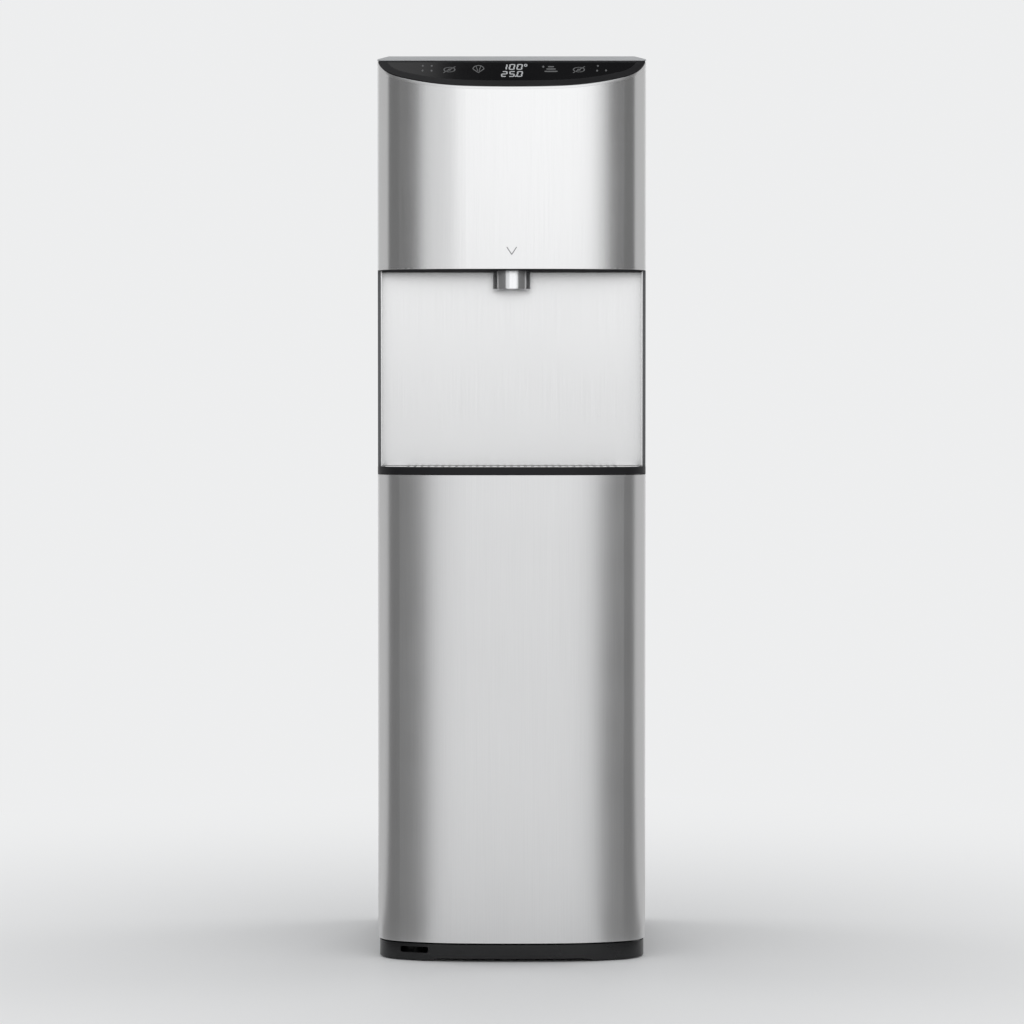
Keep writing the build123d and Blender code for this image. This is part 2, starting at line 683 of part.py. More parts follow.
def catch_plate():
    """Steel angle on the left side panel that the magnet closes on."""
    front = SIDE_FRONT + SHEET + CATCH_GAP
    low = MAGNET_Z - MAGNET_LENGTH / 2
    high = MAGNET_Z + MAGNET_LENGTH / 2
    plate = block(-INSIDE, -INSIDE + CATCH_WIDTH, front, front + SHEET, low, high)
    return plate + block(-INSIDE, -INSIDE + SHEET, front, front + CATCH_LEG, low, high)


def hinge(seat, way):
    """Hinge plate flat on its seat with a pin standing from it, up or down."""
    face = seat + way * HINGE_PLATE
    end = face + way * PIN_LENGTH
    plate = block(HINGE_X - PLATE_INNER, HINGE_X + PLATE_OUTER, HINGE_Y - PLATE_AHEAD,
                  HINGE_Y + PLATE_BEHIND, min(seat, face), max(seat, face))
    pin = post(HINGE_X, HINGE_Y, min(seat, end), max(seat, end), PIN_RADIUS)
    return plate + chamfer(pin.edges().group_by(Axis.Z)[-1 if way > 0 else 0], SEAM)


def make_front():
    """Upper front, control panel, recess, tray and spout."""
    cut_top = slope_slab(-BEZEL - FIT, HEIGHT, FRONT - COVER, PANEL_BACK, WIDTH)
    skin = bow_shell(0, SKIN, HEAD_BACK, HEAD_Z + SEAM, COVER_Z - FIT) - cut_top
    keep("upper_front_panel", skin)
    carrier = bow_shell(SKIN, CARRIER, HEAD_BACK, PLATE_TOP, COVER_Z)
    carrier -= slope_slab(-BEZEL, HEIGHT, FRONT - COVER, PANEL_BACK + FIT, WIDTH)
    keep("upper_front_carrier", carrier)
    behind_hem = SIDE_FRONT + SHEET + SEAM
    neck = HALF - HEM - SEAM
    plate = bow_prism(SKIN + FIT, HEAD_BACK, HEAD_Z, PLATE_TOP)
    plate += block(-neck, neck, HEAD_BACK, behind_hem, HEAD_Z, PLATE_TOP)
    plate += block(-INSIDE, INSIDE, behind_hem, SHELF_Y - SEAM, HEAD_Z, PLATE_TOP)
    plate -= post(0, SPOUT_Y, HEAD_Z - SHELF, PLATE_TOP + SHELF, NOZZLE_RADIUS)
    keep("head_underplate", plate)
    make_control_panel()
    make_recess()


def make_control_panel():
    """Sloping bezel, dark lens and the display board under them."""
    window = block(-DISPLAY_HALF, DISPLAY_HALF, FRONT + DISPLAY_FRONT, PANEL_BACK - DISPLAY_BACK,
                   0, HEIGHT * 2)
    lens_plan = bow_prism(LENS_FRONT, PANEL_BACK + COVER, HEAD_Z, HEIGHT * 2)
    lens_zone = slope_slab(-LENS, 0, FRONT - COVER, PANEL_BACK - LENS_BACK, WIDTH)
    lens = lens_plan & lens_zone
    bezel = bow_prism(BEZEL_INSET, PANEL_BACK + COVER, HEAD_Z, HEIGHT * 2)
    bezel &= slope_slab(-BEZEL, 0, FRONT - COVER, PANEL_BACK, WIDTH)
    bezel -= lens_plan & slope_slab(-LENS, COVER, FRONT - COVER, PANEL_BACK - LENS_BACK, WIDTH)
    bezel -= window
    low = -BEZEL - BOARD_DROP
    stands = slope_slab(low, -BEZEL, FRONT + BOARD_FRONT, PANEL_BACK - BOARD_BACK, BOARD_HALF)
    stands -= slope_slab(low - BOARD, 0, FRONT, PANEL_BACK, BOARD_HALF - COVER)
    keep("control_bezel", bezel + stands)
    keep("control_lens", lens)
    board = slope_slab(low - BOARD, low, FRONT + BOARD_FRONT, PANEL_BACK - BOARD_BACK, BOARD_HALF)
    board += window & slope_slab(low, -LENS, FRONT, PANEL_BACK, WIDTH)
    keep("display_board", board)


def make_recess():
    """Stainless recess panel, drip tray, grille and spout."""
    wing = INSIDE - RECESS_INSET + SHEET
    front = SIDE_FRONT + SHEET + SEAM
    panel = block(-wing, wing, front, RECESS_Y + SHEET, DECK_TOP, HEAD_Z)
    panel -= block(-wing + SHEET, wing - SHEET, front - SHEET, RECESS_Y, DECK_Z, HEIGHT)
    keep("recess_panel", panel)
    tray_half = wing - SHEET - TRAY_SIDE_GAP
    tray_back = RECESS_Y - TRAY_BACK_GAP
    floor = DECK_TOP + FIT
    lip_back = SIDE_FRONT - SEAM * 3
    body = bow_prism(0, lip_back, floor, TRAY_TOP)
    body += block(-tray_half, tray_half, lip_back, tray_back, floor, TRAY_TOP)
    body = fillet(body.edges().group_by(Axis.Z)[-1], SEAM)
    body += bow_shell(0, TRAY_LIP, lip_back, floor - TRAY_LIP_DROP, floor)
    seat = TRAY_TOP - GRILLE_SUNK - GRILLE
    body -= tray_room(TRAY_LIP, seat, TRAY_TOP + SHEET, tray_half, tray_back)
    body -= tray_room(TRAY_LIP + GRILLE_LEDGE, floor + GRILLE, seat, tray_half, tray_back)
    keep("drip_tray", body)
    grille = tray_room(TRAY_LIP + FIT, seat, seat + GRILLE, tray_half, tray_back)
    for row in range(SLOT_ROWS):
        y = tray_back - TRAY_WALL * 3 - SLOT_LENGTH / 2 - row * SLOT_ROW_PITCH
        for column in range(SLOTS):
            x = (column - (SLOTS - 1) / 2) * SLOT_PITCH
            slot = Rot(0, 0, 90) * SlotOverall(SLOT_LENGTH, SLOT_WIDTH)
            grille -= extrude(Pos(x, y, seat - GRILLE) * slot, amount=GRILLE * 3, dir=(0, 0, 1))
    keep("drip_grille", grille)
    sleeve = post(0, SPOUT_Y, HEAD_Z - SPOUT_DROP, HEAD_Z, SPOUT_RADIUS)
    sleeve = fillet(sleeve.edges().group_by(Axis.Z)[0], SPOUT_EDGE)
    sleeve -= post(0, SPOUT_Y, HEAD_Z - SPOUT_DROP - SHEET, HEAD_Z + SHEET, SPOUT_RADIUS - SPOUT_WALL)
    keep("spout_sleeve", sleeve)
    nozzle = post(0, SPOUT_Y, HEAD_Z - SPOUT_DROP + NOZZLE_RECESS, PLATE_TOP, NOZZLE_RADIUS)
    nozzle -= post(0, SPOUT_Y, HEAD_Z - SPOUT_DROP, HEIGHT, NOZZLE_BORE)
    keep("spout_nozzle", nozzle)


def tray_room(inset, z0, z1, tray_half, tray_back):
    """The tray's plan moved inwards: bowed at the front, with straight sides between the recess wings."""
    side = inset - TRAY_LIP + TRAY_WALL
    half = tray_half - side
    back = tray_back - side
    return bow_prism(inset, back, z0, z1) & block(-half, half, FRONT, back, z0, z1)


def make_water_path():
    """Tanks, valves, pump, probe and the tubes between them."""
    make_cold_tank()
    make_hot_tank()
    back = VALVE_BACK
    valve = block(-VALVE_HALF, VALVE_HALF, back - VALVE_DEPTH, back, PLATE_TOP, PLATE_TOP + VALVE_HEIGHT)
    keep("valve_block", fillet(valve.edges().filter_by(Axis.Z), DECK))
    top = PLATE_TOP + VALVE_HEIGHT
    coils = []
    for x in (-COIL_SPACING, COIL_SPACING):
        coil = post(x, back - VALVE_DEPTH / 2, top, top + SOLENOID_HEIGHT, SOLENOID_RADIUS)
        coils.append(fillet(coil.edges().group_by(Axis.Z)[-1], DECK))
    keep("solenoid_coils", *coils)
    make_pump_and_probe()
    cold_start = COLD_Y - FOAM_RADIUS - NECK_RISE
    cold_route = [(COLD_X, cold_start, TUBE_Z), (COLD_X, LANE_Y, TUBE_Z),
                  (-COIL_SPACING, LANE_Y, TUBE_Z), (-COIL_SPACING, back, TUBE_Z)]
    keep("cold_tube", pipe(cold_route, TUBE_RADIUS, TUBE_BEND))
    hot_top = HOT_Z + HOT_HEIGHT + JACKET_END + NECK_RISE
    hot_route = [(HOT_X, HOT_Y, hot_top), (HOT_X, HOT_Y, TUBE_TOP), (HOT_X, LANE_Y, TUBE_TOP),
                 (HOT_X, LANE_Y, TUBE_Z), (COIL_SPACING, LANE_Y, TUBE_Z), (COIL_SPACING, back, TUBE_Z)]
    keep("hot_tube", pipe(hot_route, TUBE_RADIUS, TUBE_BEND))
    drain_start = SHELF_TOP - SHELF - NECK_RISE
    drain_route = [(HOT_X, HOT_Y, drain_start), (HOT_X, HOT_Y, DRAIN_Z), (HOT_X, BACK_IN, DRAIN_Z)]
    keep("drain_tube", pipe(drain_route, TUBE_RADIUS, TUBE_BEND * 2))


def tank(x, y, low, height, radius):
    """A closed round tank with a thin wall and rounded ends."""
    body = post(x, y, low, low + height, radius)
    return fillet(body.edges().filter_by(GeomType.CIRCLE), NECK_RADIUS)


def make_cold_tank():
    """Cold tank with its wound evaporator and foam jacket."""
    top = COLD_Z + COLD_HEIGHT
    foam_top = top + FOAM_END
    body = tank(COLD_X, COLD_Y, COLD_Z, COLD_HEIGHT, COLD_RADIUS)
    body += post(COLD_X, COLD_Y, top - SEAM, foam_top + NECK_RISE, NECK_RADIUS)
    outlet_end = COLD_Y - FOAM_RADIUS - NECK_RISE
    body += bar_y(COLD_X, TUBE_Z, outlet_end, COLD_Y - COLD_RADIUS + NECK_RADIUS, NECK_RADIUS - SEAM)
    hollow = post(COLD_X, COLD_Y, COLD_Z + TANK_WALL, top - TANK_WALL, COLD_RADIUS - TANK_WALL)
    body -= fillet(hollow.edges().filter_by(GeomType.CIRCLE), NECK_RADIUS - TANK_WALL)
    keep("cold_tank", body)
    helix = Helix(COIL_PITCH, COIL_PITCH * COIL_TURNS, COIL_RADIUS)
    start = Plane(origin=helix @ 0, z_dir=helix % 0)
    coil = sweep(start * Circle(COIL_TUBE), path=helix)
    keep("evaporator_coil", Pos(COLD_X, COLD_Y, COIL_Z) * coil)
    foam = post(COLD_X, COLD_Y, SHELF_TOP, foam_top, FOAM_RADIUS)
    foam -= post(COLD_X, COLD_Y, COLD_Z, top, FOAM_BORE)
    foam -= post(COLD_X, COLD_Y, top - SEAM, foam_top + SEAM, NECK_RADIUS + FIT)
    foam -= bar_y(COLD_X, TUBE_Z, outlet_end, COLD_Y - COLD_RADIUS, NECK_RADIUS)
    foam -= post(COLD_X + COIL_RADIUS, COLD_Y, SHELF_TOP - SEAM, COLD_Z + SEAM, COIL_TUBE + FIT)
    keep("cold_tank_foam", foam)
    keep("suction_line", suction_line())


def suction_line():
    """Copper pipe from the evaporator's lower end down to the compressor."""
    x = COLD_X + COIL_RADIUS
    drop = (SHELF_TOP + SHELL_TOP) / 2
    entry_x = COMPRESSOR_X - COMPRESSOR_DOME / 2
    route = [(x, COLD_Y, COIL_Z - COIL_TUBE - FIT), (x, COLD_Y, drop),
             (entry_x, COMPRESSOR_Y, drop), (entry_x, COMPRESSOR_Y, SHELL_TOP)]
    return pipe(route, COIL_TUBE, PIPE_BEND)


def make_hot_tank():
    """Hot tank with its band heater and jacket."""
    top = HOT_Z + HOT_HEIGHT
    jacket_top = top + JACKET_END
    low_end = SHELF_TOP - SHELF - NECK_RISE
    body = tank(HOT_X, HOT_Y, HOT_Z, HOT_HEIGHT, HOT_RADIUS)
    body += post(HOT_X, HOT_Y, top - SEAM, jacket_top + NECK_RISE, NECK_RADIUS)
    body += post(HOT_X, HOT_Y, low_end, HOT_Z + SEAM, NECK_RADIUS)
    hollow = post(HOT_X, HOT_Y, HOT_Z + TANK_WALL, top - TANK_WALL, HOT_RADIUS - TANK_WALL)
    body -= fillet(hollow.edges().filter_by(GeomType.CIRCLE), NECK_RADIUS - TANK_WALL)
    keep("hot_tank", body)
    low = HOT_Z + HEATER_LIFT
    band = post(HOT_X, HOT_Y, low, low + HEATER_HEIGHT, HOT_RADIUS + HEATER_THICK)
    band -= post(HOT_X, HOT_Y, low - SEAM, low + HEATER_HEIGHT + SEAM, HOT_RADIUS)
    keep("heater_band", band)
    jacket = post(HOT_X, HOT_Y, SHELF_TOP, jacket_top, JACKET_RADIUS)
    jacket -= post(HOT_X, HOT_Y, HOT_Z, top, JACKET_BORE)
    jacket -= post(HOT_X, HOT_Y, SHELF_TOP - SEAM, jacket_top + SEAM, NECK_RADIUS + FIT)
    keep("hot_tank_jacket", jacket)


def make_pump_and_probe():
    """Bottle pump on the deck, and the bottle probe on its hanger below."""
    head_top = PUMP_Z + PUMP_HEAD
    pump = post(PUMP_X, PUMP_Y, DECK_TOP, PUMP_Z, PUMP_RADIUS)
    pump -= post(PUMP_X, PUMP_Y, DECK_Z, PUMP_Z, HOSE_PORT)
    head = post(PUMP_X, PUMP_Y, PUMP_Z, head_top, PUMP_RADIUS)
    pump += fillet(head.edges().group_by(Axis.Z)[-1], DECK)
    motor = post(PUMP_X, PUMP_Y, head_top, head_top + MOTOR_HEIGHT, MOTOR_RADIUS)
    pump += fillet(motor.edges().group_by(Axis.Z)[-1], DECK)
    stub_end = PUMP_Y - PUMP_RADIUS - PUMP_STUB
    pump += bar_y(PUMP_X, STUB_Z, stub_end, PUMP_Y - MOTOR_RADIUS, TUBE_RADIUS)
    keep("water_pump", pump)
    top = COLD_Z + COLD_HEIGHT + FOAM_END + NECK_RISE
    feed_route = [(PUMP_X, stub_end, STUB_Z), (PUMP_X, FEED_Y, STUB_Z), (PUMP_X, FEED_Y, TUBE_TOP),
                  (COLD_X, COLD_Y, TUBE_TOP), (COLD_X, COLD_Y, top)]
    keep("feed_tube", pipe(feed_route, TUBE_RADIUS, TUBE_BEND))
    tube = post(PROBE_X, PROBE_Y, PROBE_Z, CAP_Z, PROBE_RADIUS)
    keep("probe_tube", chamfer(tube.edges().group_by(Axis.Z)[0], PROBE_RADIUS / 3))
    cap = post(PROBE_X, PROBE_Y, CAP_Z, CAP_Z + CAP_HEIGHT, CAP_RADIUS)
    cap = fillet(cap.edges().group_by(Axis.Z)[-1], CAP_HEIGHT / 3)
    neck_top = CAP_Z + CAP_HEIGHT + CAP_NECK_HEIGHT
    cap += post(PROBE_X, PROBE_Y, CAP_Z + CAP_HEIGHT, neck_top, CAP_NECK)
    keep("probe_cap", cap)
    fork_top = CAP_Z - FIT
    slot = PROBE_RADIUS + HANGER_PLAY
    fork = block(-INSIDE, PROBE_X + HANGER_HALF, PROBE_Y - HANGER_HALF, PROBE_Y + HANGER_HALF,
                 fork_top - HANGER, fork_top)
    fork -= post(PROBE_X, PROBE_Y, PROBE_Z, CAP_Z, slot)
    fork -= block(PROBE_X - slot, PROBE_X + slot, PROBE_Y - HANGER_HALF * 2, PROBE_Y, PROBE_Z, CAP_Z)
    keep("probe_hanger", fork)
    lane = DECK_Z - HOSE_CEILING
    hose_route = [(PROBE_X, PROBE_Y, neck_top), (PROBE_X, PROBE_Y, lane),
                  (PUMP_X, PUMP_Y, lane), (PUMP_X, PUMP_Y, PUMP_Z)]
    keep("probe_hose", pipe(hose_route, TUBE_RADIUS, HOSE_BEND))


def make_cooling():
    """Compressor on the deck, and the condenser with its wires on the rear."""
    shell = post(COMPRESSOR_X, COMPRESSOR_Y, SHELL_Z, SHELL_TOP, COMPRESSOR_RADIUS)
    shell = fillet(shell.edges().filter_by(GeomType.CIRCLE), COMPRESSOR_DOME)
    middle = (SHELL_Z + SHELL_TOP) / 2
    shell += post(COMPRESSOR_X, COMPRESSOR_Y, middle - COMPRESSOR_BAND_HEIGHT / 2,
                  middle + COMPRESSOR_BAND_HEIGHT / 2, COMPRESSOR_RADIUS + COMPRESSOR_BAND)
    keep("compressor_shell", shell)
    x0 = COMPRESSOR_X - BASE_HALF_X
    x1 = COMPRESSOR_X + BASE_HALF_X
    y0 = COMPRESSOR_Y - BASE_HALF_Y
    y1 = COMPRESSOR_Y + BASE_HALF_Y
    base = block(x0, x1, y0, y1, BASE_Z, SHELL_Z)
    keep("compressor_base", fillet(base.edges().filter_by(Axis.Z), GROMMET_INSET))
    grommets = []
    for x in (x0 + GROMMET_INSET, x1 - GROMMET_INSET):
        for y in (y0 + GROMMET_INSET, y1 - GROMMET_INSET):
            grommets.append(post(x, y, DECK_TOP, BASE_Z, GROMMET_RADIUS))
    keep("compressor_grommets", *grommets)
    make_condenser()
    drier = post(DRIER_X, DRIER_Y, DRIER_Z, DRIER_Z + DRIER_LENGTH, DRIER_RADIUS)
    keep("filter_drier", fillet(drier.edges().filter_by(GeomType.CIRCLE), DRIER_SHOULDER))


def make_condenser():
    """Serpentine pipe, its wires and the wall spacers that hold it."""
    discharge_y = COMPRESSOR_Y + math.sqrt(COMPRESSOR_RADIUS ** 2 - (DISCHARGE_OFFSET - PIPE_RADIUS) ** 2)
    points = [(DISCHARGE_X, discharge_y, DISCHARGE_Z), (DISCHARGE_X, PIPE_Y, DISCHARGE_Z),
              (DISCHARGE_X, PIPE_Y, CONDENSER_TOP)]
    bends = [PIPE_BEND, PIPE_BEND]
    for number in range(PASSES - 1):
        z = CONDENSER_TOP - number * PASS_PITCH
        x = PASS_HALF if number % 2 else -PASS_HALF
        points += [(x, PIPE_Y, z), (x, PIPE_Y, z - PASS_PITCH)]
        bends += [PASS_PITCH / 2 * BEND_SHARE] * 2
    points += [(-RISER_X, PIPE_Y, CONDENSER_LOW), (-RISER_X, PIPE_Y, RETURN_Z),
               (-RISER_X, DRIER_Y, RETURN_Z), (DRIER_X, DRIER_Y, RETURN_Z), (DRIER_X, DRIER_Y, DRIER_Z)]
    bends += [PIPE_BEND] * 4
    keep("condenser_tube", pipe(points, PIPE_RADIUS, bends))
    offset = PIPE_RADIUS + WIRE_RADIUS + WIRE_TOUCH
    wire_count = int(2 * WIRE_HALF / WIRE_PITCH) + 1
    wires = []
    for step in range(wire_count):
        x = (step - (wire_count - 1) / 2) * WIRE_PITCH
        for y in (PIPE_Y - offset, PIPE_Y + offset):
            wires.append(post(x, y, CONDENSER_LOW - WIRE_OVERHANG, CONDENSER_TOP + WIRE_OVERHANG,
                              WIRE_RADIUS))
    keep("condenser_wires", *wires)
    brackets = []
    for number in BRACKET_PASSES:
        z = CONDENSER_TOP - number * PASS_PITCH
        for x in (-BRACKET_X, BRACKET_X):
            foot = block(x - BRACKET_HALF, x + BRACKET_HALF, BACK, REAR, z - BRACKET_TALL, z + BRACKET_TALL)
            foot = fillet(foot.edges().filter_by(Axis.X).group_by(Axis.Y)[-1], BRACKET_HALF)
            brackets.append(foot - bar_x(PIPE_Y, z, x - BRACKET_X, x + BRACKET_X, PIPE_RADIUS + FIT))
    keep("condenser_brackets", *brackets)


def make_rear_fittings():
    """Drain with its cap, lead gland, switches and the power board."""
    seat = BACK + DRAIN_FLANGE_THICK
    end = seat + DRAIN_REACH
    outlet = bar_y(HOT_X, DRAIN_Z, BACK, seat, DRAIN_FLANGE)
    outlet += bar_y(HOT_X, DRAIN_Z, BACK_IN, BACK, TUBE_RADIUS)
    outlet += bar_y(HOT_X, DRAIN_Z, seat, end, DRAIN_SPIGOT)
    outlet -= bar_y(HOT_X, DRAIN_Z, BACK_IN, end, TUBE_RADIUS - SHEET)
    keep("drain_outlet", outlet)
    cap = bar_y(HOT_X, DRAIN_Z, seat + FIT, end + FIT + CAP_WALL, DRAIN_SPIGOT + FIT + CAP_WALL)
    cap = fillet(cap.edges().group_by(Axis.Y)[-1], CAP_WALL / 2)
    keep("drain_cap", cap - bar_y(HOT_X, DRAIN_Z, seat, end + FIT, DRAIN_SPIGOT + FIT))
    flange_end = BACK + GLAND_FLANGE
    gland = bar_y(GLAND_X, GLAND_Z, BACK, flange_end, GLAND_RADIUS)
    gland += bar_y(GLAND_X, GLAND_Z, BACK_IN - GLAND_FLANGE, BACK, GLAND_TIP)
    nose = Cone(GLAND_RADIUS - SEAM, GLAND_TIP, GLAND_REACH)
    gland += Pos(GLAND_X, flange_end + GLAND_REACH / 2, GLAND_Z) * Rot(-90, 0, 0) * nose
    keep("cord_gland", gland - bar_y(GLAND_X, GLAND_Z, FRONT, REAR, GLAND_BORE))
    make_switches()
    keep("power_board", power_board())


def make_switches():
    """Switch plate with two rocker switches, both resting in the off position."""
    wide = SWITCH_PLATE_HALF
    tall = SWITCH_PLATE_TALL
    plate = block(SWITCH_X - wide, SWITCH_X + wide, BACK, BACK + SWITCH_PLATE,
                  SWITCH_Z - tall, SWITCH_Z + tall)
    plate = fillet(plate.edges().filter_by(Axis.Y), SWITCH_PLATE)
    wide -= SWITCH_WALL + FIT
    tall -= SWITCH_WALL + FIT
    plate += block(SWITCH_X - wide, SWITCH_X + wide, BACK - SWITCH_BODY, BACK,
                   SWITCH_Z - tall, SWITCH_Z + tall)
    pivot_y = BACK - PIVOT_DEPTH
    room_x = ROCKER_HALF + ROCKER_PLAY
    room_z = ROCKER_TALL + ROCKER_ROOM
    floor_y = BACK - SWITCH_BODY + SWITCH_WALL
    pin = ROCKER_HALF + ROCKER_PLAY + ROCKER_PIN
    for name, way in (("hot_switch", -1), ("cold_switch", 1)):
        x = SWITCH_X + way * SWITCH_SPACING / 2
        plate -= block(x - room_x, x + room_x, floor_y, BACK + SWITCH_PLATE,
                       SWITCH_Z - room_z, SWITCH_Z + room_z)
        plate -= bar_x(pivot_y, SWITCH_Z, x - pin - FIT, x + pin + FIT, ROCKER_PIN + PIN_CLEARANCE)
        outline = Polyline((-ROCKER_BACK, -ROCKER_BASE), (ROCKER_PROUD, -ROCKER_TALL),
                           (ROCKER_PROUD - ROCKER_DISH, 0), (ROCKER_PROUD, ROCKER_TALL),
                           (-ROCKER_BACK, ROCKER_BASE), close=True)
        rocker = extrude(Plane.YZ * Face(Wire(outline.edges())), amount=ROCKER_HALF, both=True)
        rocker += bar_x(0, 0, -pin, pin, ROCKER_PIN)
        keep(name, Pos(x, pivot_y, SWITCH_Z) * Rot(-ROCKER_TILT, 0, 0) * rocker)
    keep("switch_plate", plate)


def power_board():
    """Power board on four stand-offs, with its transformer, relay and capacitors."""
    face = INSIDE - BOARD_STAND - BOARD
    y0 = POWER_Y - BOARD_LENGTH / 2
    y1 = POWER_Y + BOARD_LENGTH / 2
    top = POWER_Z + BOARD_HEIGHT
    body = block(face, face + BOARD, y0, y1, POWER_Z, top)
    for y in (y0 + BOARD_STAND * 2, y1 - BOARD_STAND * 2):
        for z in (POWER_Z + BOARD_STAND * 2, top - BOARD_STAND * 2):
            body += bar_x(y, z, face, INSIDE, BOARD_STAND)
    body += block(face - CHIP_HIGH, face, y0 + CHIP_LOW, POWER_Y,
                  POWER_Z + CHIP_LOW, POWER_Z + CHIP_LOW * 4)
    body += block(face - CHIP_LOW, face, POWER_Y + CHIP_LOW, y1 - CHIP_LOW,
                  top - CHIP_LOW * 4, top - CHIP_LOW)
    for number in range(CAPACITORS):
        y = POWER_Y + CHIP_LOW * (1 + 2 * number)
        body += bar_x(y, POWER_Z + CHIP_LOW * 2, face - CHIP_LOW * 2, face, CHIP_LOW * 0.7)
    return body


make_cabinet()
make_door()
make_front()
make_water_path()
make_cooling()
make_rear_fittings()

os.makedirs("parts", exist_ok=True)
for name, solids in NEW_PARTS.items():
    shape = solids[0] if len(solids) == 1 else Compound(children=list(solids))
    export_step(shape, f"parts/{name}.step")
    print(name, round(shape.volume))
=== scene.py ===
import bpy
import bmesh
import json
import math
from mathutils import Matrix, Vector


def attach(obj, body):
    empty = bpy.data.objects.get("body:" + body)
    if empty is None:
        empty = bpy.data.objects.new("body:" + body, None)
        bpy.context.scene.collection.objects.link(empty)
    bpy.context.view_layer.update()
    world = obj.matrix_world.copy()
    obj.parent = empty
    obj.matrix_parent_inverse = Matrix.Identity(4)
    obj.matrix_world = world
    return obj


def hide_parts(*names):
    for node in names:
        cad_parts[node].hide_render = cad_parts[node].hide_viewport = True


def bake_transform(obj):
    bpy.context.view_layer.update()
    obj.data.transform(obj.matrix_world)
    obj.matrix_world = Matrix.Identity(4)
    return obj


# Looks of the floor-standing water dispenser, in metres, in the solid model's own frame
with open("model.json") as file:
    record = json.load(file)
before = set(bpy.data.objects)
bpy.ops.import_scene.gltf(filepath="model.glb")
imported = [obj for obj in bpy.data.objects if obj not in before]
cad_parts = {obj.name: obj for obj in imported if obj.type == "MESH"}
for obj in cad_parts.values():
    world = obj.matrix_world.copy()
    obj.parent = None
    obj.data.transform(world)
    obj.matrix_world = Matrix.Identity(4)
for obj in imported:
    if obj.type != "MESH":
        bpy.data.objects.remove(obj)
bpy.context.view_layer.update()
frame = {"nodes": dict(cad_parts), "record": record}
scene = bpy.context.scene
scene.view_settings.view_transform = "Standard"

# Bowed front seen from above: crown, shoulder and corner arcs, each with its end angle
FRONT_Y = -0.190
EDGE_Y = -0.132
HALF_WIDTH = 0.155
CROWN_RADIUS = 1.0
CROWN_TURN = math.radians(3.0)
SHOULDER_TURN = math.radians(22.5)
CORNER_TURN = math.radians(90.0)

# Sloping control panel, and the edge of it that shows above the upper front's skin
SLOPE_FRONT = Vector((0.0, -0.190, 1.002))
SLOPE_BACK = Vector((0.0, -0.140, 1.035))
SLOPE_ANGLE = math.atan2(SLOPE_BACK.z - SLOPE_FRONT.z, SLOPE_BACK.y - SLOPE_FRONT.y)
SLOPE_RISE = math.tan(SLOPE_ANGLE)
PANEL_EDGE = 0.0034

# Print on the lens: places run across from the middle and down the slope from its upper edge
PRINT_THICK = 0.00008
STROKE_ROUND = 0.42
KEY_DOTS = [(-0.1021, 0.0128), (-0.1021, 0.0244), (-0.0918, 0.0128), (-0.0918, 0.0244),
            (0.0988, 0.0128), (0.0977, 0.0244), (0.1080, 0.0239)]
KEY_DOT_SIZE = (0.0022, 0.0046)
STRUCK_KEYS = [(-0.0714, 0.0220), (0.0770, 0.0220)]
STRUCK_RING = (0.0140, 0.0125)
STRUCK_DOT = (0.0040, 0.0048)
STRUCK_LINE = 0.0014
STRUCK_STROKE = 0.0205
STRUCK_TURN = math.radians(48)
SHELL_X = -0.0382
SHELL_DOWN = 0.0205
SHELL_SIZE = (0.0138, 0.0190)
SHELL_LINE = 0.0013
SHELL_POINT = 1.5
RIB_APART = 0.0017
RIB_DOWN = 0.0195
RIB_SIZE = (0.0010, 0.0120)
RIB_TURN = math.radians(-9)
STACK_X = 0.0450
STACK_BARS = [(0.0150, 0.0070), (0.0205, 0.0110), (0.0262, 0.0150)]
STACK_LINE = 0.0030
STACK_DOT = (0.0362, 0.0150)
STACK_DOT_SIZE = (0.0026, 0.0052)

# Lit figures: two rows, each figure made of seven strokes named a to g. Strokes take a share of the
# figure's width or height, and the upright ones stop short of the level ones.
DIGIT_ROWS = [(0.0155, "100"), (0.0325, "250")]
DIGIT_START = -0.0085
DIGIT_PITCH = 0.0088
DIGIT_SIZE = (0.0068, 0.0138)
DIGIT_LEAN = 0.12
UPRIGHT_SHARE = 0.24
LEVEL_SHARE = 0.15
UPRIGHT_GAP = 0.4
POINT_PLACE = (0.0046, 0.0380)
POINT_SIZE = (0.0017, 0.0034)
DEGREE_PLACE = (0.0160, 0.0115)
DEGREE_SIZE = (0.0040, 0.0066)
DEGREE_LINE = 0.0011
LIT_STROKES = {"0": "abcdef", "1": "bc", "2": "abdeg", "5": "acdfg"}
STROKE_SPOTS = {"a": (0, 1, True), "d": (0, -1, True), "g": (0, 0, True), "b": (1, 0.5, False),
                "c": (1, -0.5, False), "f": (-1, 0.5, False), "e": (-1, -0.5, False)}

# Chevron above the spout, sunk into the skin by a share of its thickness
CHEVRON_Z = 0.8145
CHEVRON_STROKE = (0.0104, 0.0011)
CHEVRON_APART = 0.0028
CHEVRON_TURN = math.radians(57)
CHEVRON_SINK = 0.8

# Rolled hems of the stainless skins: name, body, height, bead height and depth, rise to the back
HEMS = [("upper_front_low_hem", "cabinet", 0.7950, 0.0022, 0.0012, 0.0),
        ("upper_front_top_hem", "cabinet", SLOPE_FRONT.z - PANEL_EDGE, 0.0040, 0.0006, SLOPE_RISE),
        ("door_top_hem", "door", 0.5580, 0.0016, 0.0012, 0.0),
        ("door_low_hem", "door", 0.0230, 0.0022, 0.0012, 0.0)]
HEM_STEPS = (6, 14, 20)
HEM_MERGE = 0.00002

# Hose from the bottle probe's cap to the pump: the route's points, as in the solid model
HOSE_DIAMETER = 0.010
HOSE_ROUTE = [(-0.122, 0.117, 0.470), (-0.122, 0.117, 0.5305), (-0.100, -0.010, 0.5305),
              (-0.100, -0.010, 0.566)]

